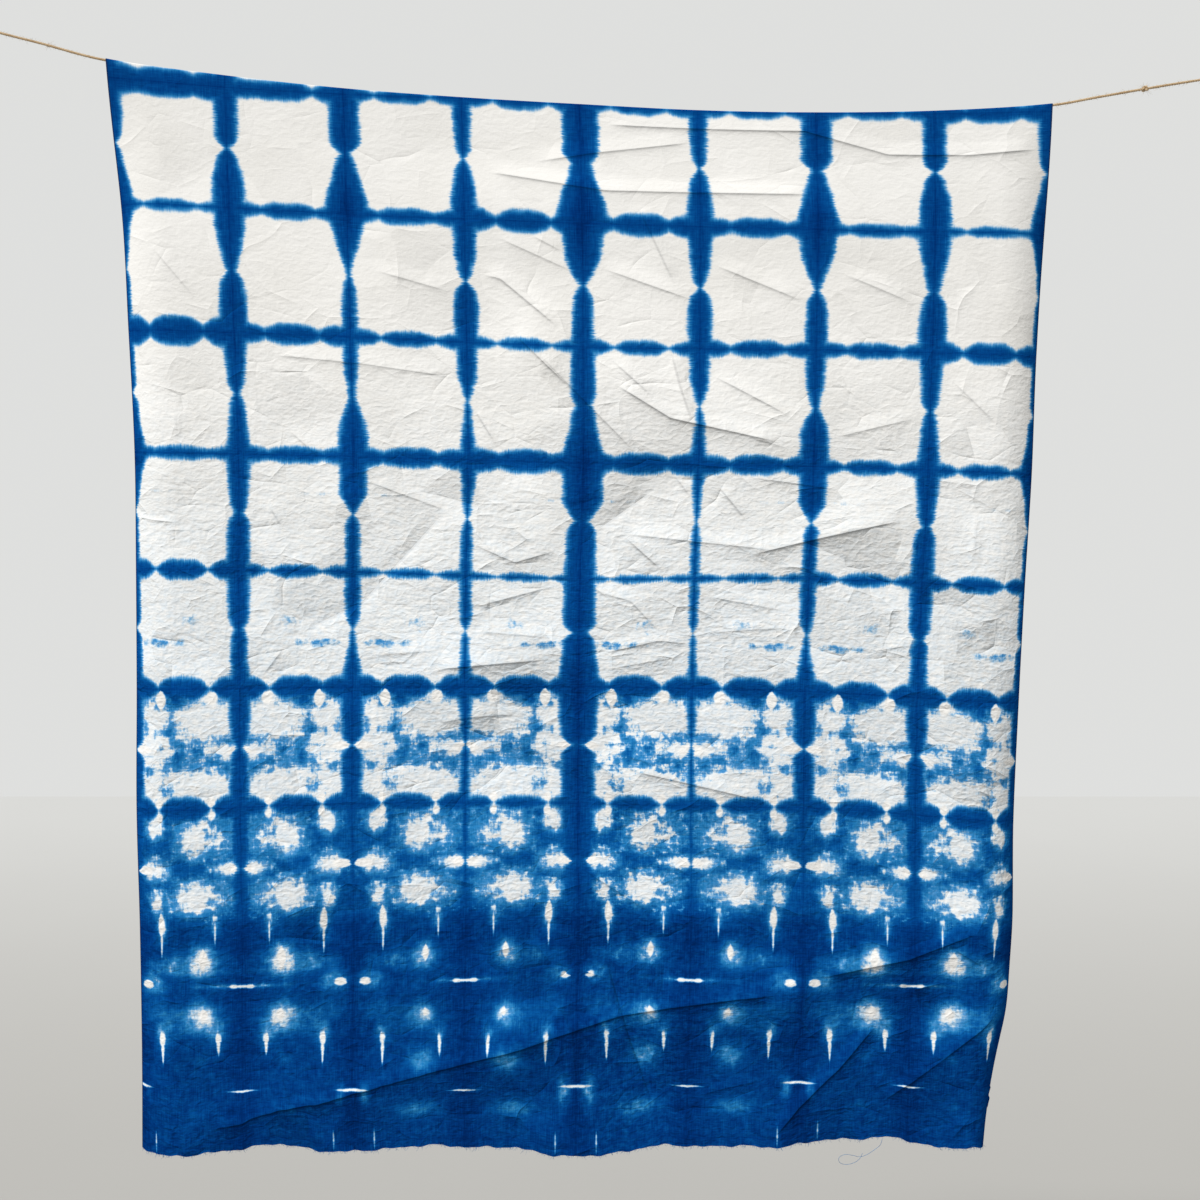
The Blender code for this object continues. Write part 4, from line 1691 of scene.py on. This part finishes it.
@dataclass
class HemFray:
    """Loose thread ends along the raw hem, and one long thread that hangs from it."""

    surface: HangingSurface
    ends: int = 980
    front_share: float = 0.7
    reach_across: float = 3.995
    shortest: float = 0.0022
    longest: float = 0.0062
    radius: float = 0.00016
    taper: tuple[float, ...] = (1.0, 1.0, 0.8, 0.4)
    root_lift: float = 0.0006
    curl: float = 0.35
    seed: int = 41
    thread_radius: float = 0.00024
    thread_column: float = 2.75
    thread_points: int = 60
    # How far the long thread hangs in front of the hem at its root, and how much more at each point
    thread_gap: float = 0.0004
    thread_lean: float = 0.00002
    thread_line: tuple[Point, ...] = (
        (0.3716, -1.2560),
        (0.3690, -1.2640),
        (0.3620, -1.2700),
        (0.3530, -1.2760),
        (0.3440, -1.2790),
        (0.3350, -1.2770),
        (0.3250, -1.2760),
        (0.3180, -1.2800),
        (0.3190, -1.2860),
        (0.3270, -1.2885),
        (0.3370, -1.2860),
        (0.3435, -1.2810),
        (0.3470, -1.2740),
    )

    def strand(self, start: Vector, lean: float, length: float, swing: float) -> list[Vector]:
        """One thread end that hangs and curls a little.

        Args:
            start: Its root in the hem.
            lean: How far it leans aside, as a share of its length.
            length: Its length.
            swing: How much it curls, as a share of its length.

        Returns:
            Its points.
        """
        path = []
        for step in range(4):
            share = step / 3
            aside = lean * length * share + swing * length * share * share
            path.append(start + Vector((aside, swing * length * 0.6 * share, -length * share)))
        return path

    def build_ends(self, material: bpy.types.Material) -> bpy.types.Object:
        """Makes the short ends along the front and the back hem.

        Args:
            material: The threads' finish.

        Returns:
            The piece.
        """
        dice = random.Random(self.seed)
        threads = Threads()
        side = self.reach_across
        spots = np.sort(np.array([dice.uniform(-side, side) for _ in range(self.ends)]))
        front = self.surface.front(spots, np.array([self.surface.front_hem]))[0]
        over, away, _ = self.surface.frames(spots, np.array([self.surface.back_hem]))
        back = (over + away * 2 * self.surface.fold_radius)[0]
        for i in range(self.ends):
            edge = front if dice.random() < self.front_share else back
            start = Vector(edge[i]) + Vector((0.0, 0.0, self.root_lift))
            length = dice.uniform(self.shortest, self.longest) * dice.uniform(0.5, 1.0)
            path = self.strand(start, dice.gauss(0.0, self.curl), length, dice.gauss(0.0, self.curl))
            threads.tube(path, [self.radius * share for share in self.taper])
        ends = place_object("hem_fray", threads.mesh("hem_fray"), material)
        return ends

    def build_thread(self, material: bpy.types.Material) -> bpy.types.Object:
        """Makes the long loose thread, with a loop at its end.

        Args:
            material: The threads' finish.

        Returns:
            The piece.
        """
        places = list(np.linspace(0.0, 1.0, len(self.thread_line)))
        wanted = np.linspace(0.0, 1.0, self.thread_points)
        fine = smooth_values(places, np.array(self.thread_line), wanted)
        hem = np.array([self.surface.front_hem])
        depth = self.surface.front(np.array([self.thread_column]), hem)[0, 0, 1]
        path = []
        for i, (x, z) in enumerate(fine):
            path.append(Vector((x, depth - self.thread_gap - self.thread_lean * i, z)))
        threads = Threads()
        threads.tube(path, [self.thread_radius] * len(path), sides=5)
        thread = place_object("hem_thread", threads.mesh("hem_thread"), material)
        return thread


@dataclass
class JuteTwine:
    """The line: three plies twisted together, its knots, end eyes and loose fibres."""

    ply_radius: float = 0.00078
    ply_offset: float = 0.00078
    lay_length: float = 0.0085
    step: float = 0.0010
    path_step: float = 0.02
    eye_step: float = 0.0010 * 0.8
    ply_sides: int = 6
    knot_radius: float = 0.0026
    knot_points: int = 64
    # How much longer and flatter a knot is than it is tall, and how thin its twine is pulled
    knot_shape: Point = (1.35, 0.62)
    knot_twine: float = 0.86
    cut_twine: float = 0.9
    seed: int = 17
    fibres: int = 430
    fibre_step: float = 0.0015
    fibre_root: float = 0.0011
    fibre_bend: float = 0.18
    fibre_shares: tuple[float, ...] = (0.0, 0.35, 0.7, 1.0)
    fibre_radii: tuple[float, ...] = (0.00009, 0.00008, 0.00006, 0.00003)
    fibre_lengths: Point = (0.0015, 0.005)
    # Between these two places the cloth hides the twine
    hidden: Point = (-0.572, 0.556)
    tuft_place: float = -0.628
    tuft_fibres: int = 16
    tuft_lengths: Point = (0.003, 0.007)
    whiskers: int = 34
    whisker_lengths: Point = (0.005, 0.010)
    eye_half: tuple[Point, ...] = (
        (0.0000, 0.0021),
        (0.0040, 0.0022),
        (0.0085, 0.0040),
        (0.0140, 0.0068),
        (0.0210, 0.0082),
        (0.0285, 0.0076),
        (0.0340, 0.0046),
    )
    eye_tip: Point = (0.0362, 0.0)
    # The cut end beyond each knot: where it starts, how it rises, and how long it is
    cut_start: float = 0.004
    cut_rise: Point = (0.0012, 0.0030)
    cut_length: float = 0.013
    cut_points: int = 14

    def even(self, route: list[Point], step: float) -> list[Vector]:
        """Even points along the smooth curve through a route.

        Args:
            route: Places (x, z) on the twine's middle line.
            step: The distance between points.

        Returns:
            The points.
        """
        places = np.array(route)
        spans = np.linalg.norm(np.diff(places, axis=0), axis=1)
        travelled = np.concatenate(([0.0], np.cumsum(spans)))
        count = max(int(travelled[-1] / step) + 1, 4)
        fine = smooth_values(list(travelled), places, np.linspace(0.0, travelled[-1], count))
        return [in_line(place) for place in fine]

    def twist(self, threads: Threads, path: list[Vector], thin: float = 1.0) -> None:
        """Adds three plies laid round a path.

        Args:
            threads: Where they go.
            path: The twine's middle line.
            thin: How thin the twine is pulled there.
        """
        strands: list[list[Vector]] = [[], [], []]
        travelled = 0.0
        for i, (point, normal, aside) in enumerate(carried_frames(path)):
            if i:
                travelled += (point - path[i - 1]).length
            for ply, strand in enumerate(strands):
                angle = 2 * math.pi * (travelled / self.lay_length + ply / 3)
                outward = normal * math.cos(angle) + aside * math.sin(angle)
                strand.append(point + outward * self.ply_offset * thin)
        for strand in strands:
            threads.tube(strand, [self.ply_radius * thin] * len(strand), self.ply_sides)

    def line(self) -> list[Point]:
        """The twine's whole route between its end knots."""
        return list(LINE_ROUTE) + list(TAIL_ROUTE[1:])

    def build_line(self, material: bpy.types.Material) -> tuple[bpy.types.Object, list[Vector]]:
        """Makes the twine from its left knot to its right knot.

        Args:
            material: The jute.

        Returns:
            The piece and the points that it follows.
        """
        threads = Threads()
        self.twist(threads, self.even(self.line(), self.step))
        piece = place_object("twine_line", threads.mesh("twine_line"), material)
        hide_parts("line", "line_tail")
        return piece, [point + SHIFT for point in self.even(self.line(), self.path_step)]

    def build_knot(
        self, name: str, centre: Point, along: Vector, node: str, material: bpy.types.Material
    ) -> bpy.types.Object:
        """Makes an overhand knot, pulled tight.

        Args:
            name: The piece's name.
            centre: The knot's middle.
            along: The twine's direction there.
            node: The solid that it stands for.
            material: The jute.

        Returns:
            The piece.
        """
        up = BACKWARD.cross(along)
        long, flat = self.knot_shape
        path = []
        for i in range(self.knot_points + 1):
            t = 2 * math.pi * i / self.knot_points
            out = (math.sin(t) + 2 * math.sin(2 * t)) / 3
            over = (math.cos(t) - 2 * math.cos(2 * t)) / 3
            depth = math.sin(3 * t)
            offset = along * out * self.knot_radius * long + up * over * self.knot_radius
            path.append(in_line(centre) + offset + BACKWARD * depth * self.knot_radius * flat)
        threads = Threads()
        self.twist(threads, path, self.knot_twine)
        knot = place_object(name, threads.mesh(name), material)
        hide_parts(node)
        return knot

    def build_eye(
        self, name: str, knot: Point, outward: Vector, node: str, material: bpy.types.Material
    ) -> bpy.types.Object:
        """Makes the loop at one end of the twine, and its short cut end beyond the knot.

        Args:
            name: The piece's name.
            knot: The middle of the knot that ties it.
            outward: The direction away from the cloth.
            node: The solid that it stands for.
            material: The jute.

        Returns:
            The piece.
        """
        up = Vector((-outward.z, 0.0, outward.x))
        start = in_line(knot) + outward * (KNOT_LENGTH / 2)
        outline = [*self.eye_half, self.eye_tip]
        outline += [(out, -aside) for out, aside in reversed(self.eye_half)]
        loop = self.even(outline, self.eye_step)
        threads = Threads()
        self.twist(threads, [start + outward * p.x + up * p.z for p in loop])
        back = in_line(knot) - outward * self.cut_start
        low, rise = self.cut_rise
        cut = []
        for share in np.linspace(0, 1, self.cut_points):
            cut.append(back + up * (low + rise * share) - outward * self.cut_length * share)
        self.twist(threads, cut, self.cut_twine)
        eye = place_object(name, threads.mesh(name), material)
        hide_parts(node)
        return eye

    def build_fibres(self, material: bpy.types.Material) -> bpy.types.Object:
        """Makes the fibres that stand off the twine, a small tuft and the knots' whiskers.

        Args:
            material: The jute.

        Returns:
            The piece.
        """
        dice = random.Random(self.seed)
        threads = Threads()
        path = self.even(self.line(), self.fibre_step)
        left, right = self.hidden
        shown = [i for i in range(1, len(path) - 1) if not left < path[i].x < right]
        for _ in range(self.fibres):
            i = dice.choice(shown)
            along = (path[i + 1] - path[i - 1]).normalized()
            self.fibre(threads, dice, path[i], along, self.fibre_lengths)
        tuft = min(path, key=lambda p: abs(p.x - self.tuft_place))
        for _ in range(self.tuft_fibres):
            self.fibre(threads, dice, tuft, LEFT_OUT, self.tuft_lengths)
        for centre, along in ((LINE_KNOT, RIGHT_OUT), (LEFT_KNOT, LEFT_OUT), (RIGHT_KNOT, RIGHT_OUT)):
            for _ in range(self.whiskers):
                self.fibre(threads, dice, in_line(centre), along, self.whisker_lengths)
        piece = place_object("twine_fibres", threads.mesh("twine_fibres"), material)
        return piece

    def fibre(
        self, threads: Threads, dice: random.Random, root: Vector, along: Vector, lengths: Point
    ) -> None:
        """Adds one loose fibre.

        Args:
            threads: Where it goes.
            dice: The seeded source of chance.
            root: The place on the twine's middle line.
            along: The twine's direction there.
            lengths: Its least and most length.
        """
        angle = dice.uniform(0.0, 2 * math.pi)
        outward = BACKWARD * math.cos(angle) + BACKWARD.cross(along) * math.sin(angle)
        lean = along * dice.choice((-1.0, 1.0)) * dice.uniform(0.4, 1.6)
        heading = (outward + lean).normalized()
        length = dice.uniform(*lengths)
        sway = Vector((dice.gauss(0, 1), dice.gauss(0, 1), dice.gauss(0, 1)))
        bend = sway * length * self.fibre_bend
        start = root + outward * self.fibre_root
        strand = [start + heading * length * t + bend * t * t for t in self.fibre_shares]
        threads.tube(strand, list(self.fibre_radii))

    def build(self, material: bpy.types.Material) -> list[bpy.types.Object]:
        """Makes the twine with its knots, eyes and fibres.

        Args:
            material: The jute.

        Returns:
            The pieces, of which the first is the twine itself.
        """
        line, path = self.build_line(material)
        at_knot = direction(TAIL_ROUTE[0], TAIL_ROUTE[1])
        parts = [
            self.build_knot("twine_line_knot", LINE_KNOT, at_knot, "line_knot", material),
            self.build_knot("twine_left_knot", LEFT_KNOT, LEFT_OUT, "left_knot", material),
            self.build_knot("twine_right_knot", RIGHT_KNOT, RIGHT_OUT, "right_knot", material),
            self.build_eye("twine_left_eye", LEFT_KNOT, LEFT_OUT, "left_eye", material),
            self.build_eye("twine_right_eye", RIGHT_KNOT, RIGHT_OUT, "right_eye", material),
            self.build_fibres(material),
        ]
        length = sum((b - a).length for a, b in zip(path, path[1:]))
        log.info("twine between its end knots: %.3f m", length)
        tuple(path[0])
        [tuple(point) for point in path]
        return [line, *parts]


@dataclass
class Studio:
    """The camera, the floor, the soft light and the pale surroundings."""

    camera_place: Triple = (0.7493, -1.55, -0.5929)
    camera_tilt: float = 86.81
    camera_view: float = 49.98
    floor_place: Triple = (0.75, 0.0, -2.60)
    floor_size: float = 16.0
    # Painted shade: the floor's colour near the camera and far off
    floor_shade_colours: tuple[tuple[float, Triple], ...] = (
        (0.0, (0.42, 0.415, 0.40)),
        (1.0, (0.575, 0.58, 0.575)),
    )
    surroundings: Triple = (0.735, 0.74, 0.73)
    # The surroundings' strength as a light, and as they are seen
    strengths: Point = (0.54, 1.0)
    light_place: Triple = (-1.5, -1.9, 2.7)
    light_spread: float = 14.0
    light_energy: float = 3.5
    light_colour: Triple = (1.0, 0.985, 0.96)

    def build_camera(self) -> None:
        """Puts the camera at the photograph's angle."""
        data = bpy.data.cameras.new("camera")
        data.angle = math.radians(self.camera_view)
        camera = bpy.data.objects.new("camera", data)
        camera.location = self.camera_place
        camera.rotation_euler = (math.radians(self.camera_tilt), 0.0, 0.0)
        bpy.context.scene.collection.objects.link(camera)
        bpy.context.scene.camera = camera

    def build_floor(self) -> None:
        """Lays a pale floor well below the hem, with painted shade that darkens it towards the camera.
        """
        half = self.floor_size / 2
        mesh = bpy.data.meshes.new("floor")
        corners = [(-half, -half, 0), (half, -half, 0), (half, half, 0), (-half, half, 0)]
        mesh.from_pydata(corners, [], [(0, 1, 2, 3)])
        material, dyer, shader = new_material("pale_floor_painted_shade")
        at = dyer.here()
        # Painted shade: darker near the camera, lighter far off, with a little random mottle
        far = dyer.split(at)[1].step(1.5, 7.9) + dyer.noise(at, 1.5) * 0.05
        dyer.ramp(far, self.floor_shade_colours).into(shader.inputs["Base Color"])
        shader.inputs["Roughness"].default_value = 0.95
        mesh.materials.append(material)
        floor = bpy.data.objects.new("floor", mesh)
        floor.location = self.floor_place
        bpy.context.scene.collection.objects.link(floor)

    def build_surroundings(self) -> None:
        """Makes the pale surroundings, which light the cloth less than they show."""
        world = bpy.data.worlds.new("surroundings")
        world.use_nodes = True
        nodes = world.node_tree.nodes
        background = nodes["Background"]
        background.inputs["Color"].default_value = (*self.surroundings, 1.0)
        seen = nodes.new("ShaderNodeLightPath")
        share = nodes.new("ShaderNodeMapRange")
        share.inputs["To Min"].default_value = self.strengths[0]
        share.inputs["To Max"].default_value = self.strengths[1]
        world.node_tree.links.new(seen.outputs["Is Camera Ray"], share.inputs["Value"])
        world.node_tree.links.new(share.outputs["Result"], background.inputs["Strength"])
        bpy.context.scene.world = world

    def build_light(self) -> None:
        """Hangs one soft light at the upper left."""
        data = bpy.data.lights.new("window_light", "SUN")
        data.angle = math.radians(self.light_spread)
        data.energy = self.light_energy
        data.color = self.light_colour
        light = bpy.data.objects.new("window_light", data)
        light.location = self.light_place
        light.rotation_euler = Vector(self.light_place).to_track_quat("Z", "Y").to_euler()
        bpy.context.scene.collection.objects.link(light)

    def build(self) -> None:
        """Makes everything around the part."""
        self.build_camera()
        self.build_floor()
        self.build_surroundings()
        self.build_light()
        bpy.context.scene.view_settings.view_transform = "Standard"


def main() -> None:
    """Builds the studio, the twine and the cloth, and reports each piece."""
    logging.basicConfig(level=logging.INFO, format="%(message)s")
    Studio().build()

    jute = JuteFinish().build()
    cotton = IndigoCottonFinish().build()
    fray = FrayFinish().build()

    twine = JuteTwine().build(jute)
    surface = HangingSurface()
    cloth = DyedCloth(surface, DyeChart(), CreaseMap()).build(cotton)
    hem = HemFray(surface)
    loose = [hem.build_ends(fray), hem.build_thread(fray)]

    log.info("all pieces built")


if __name__ == "__main__":
    main()
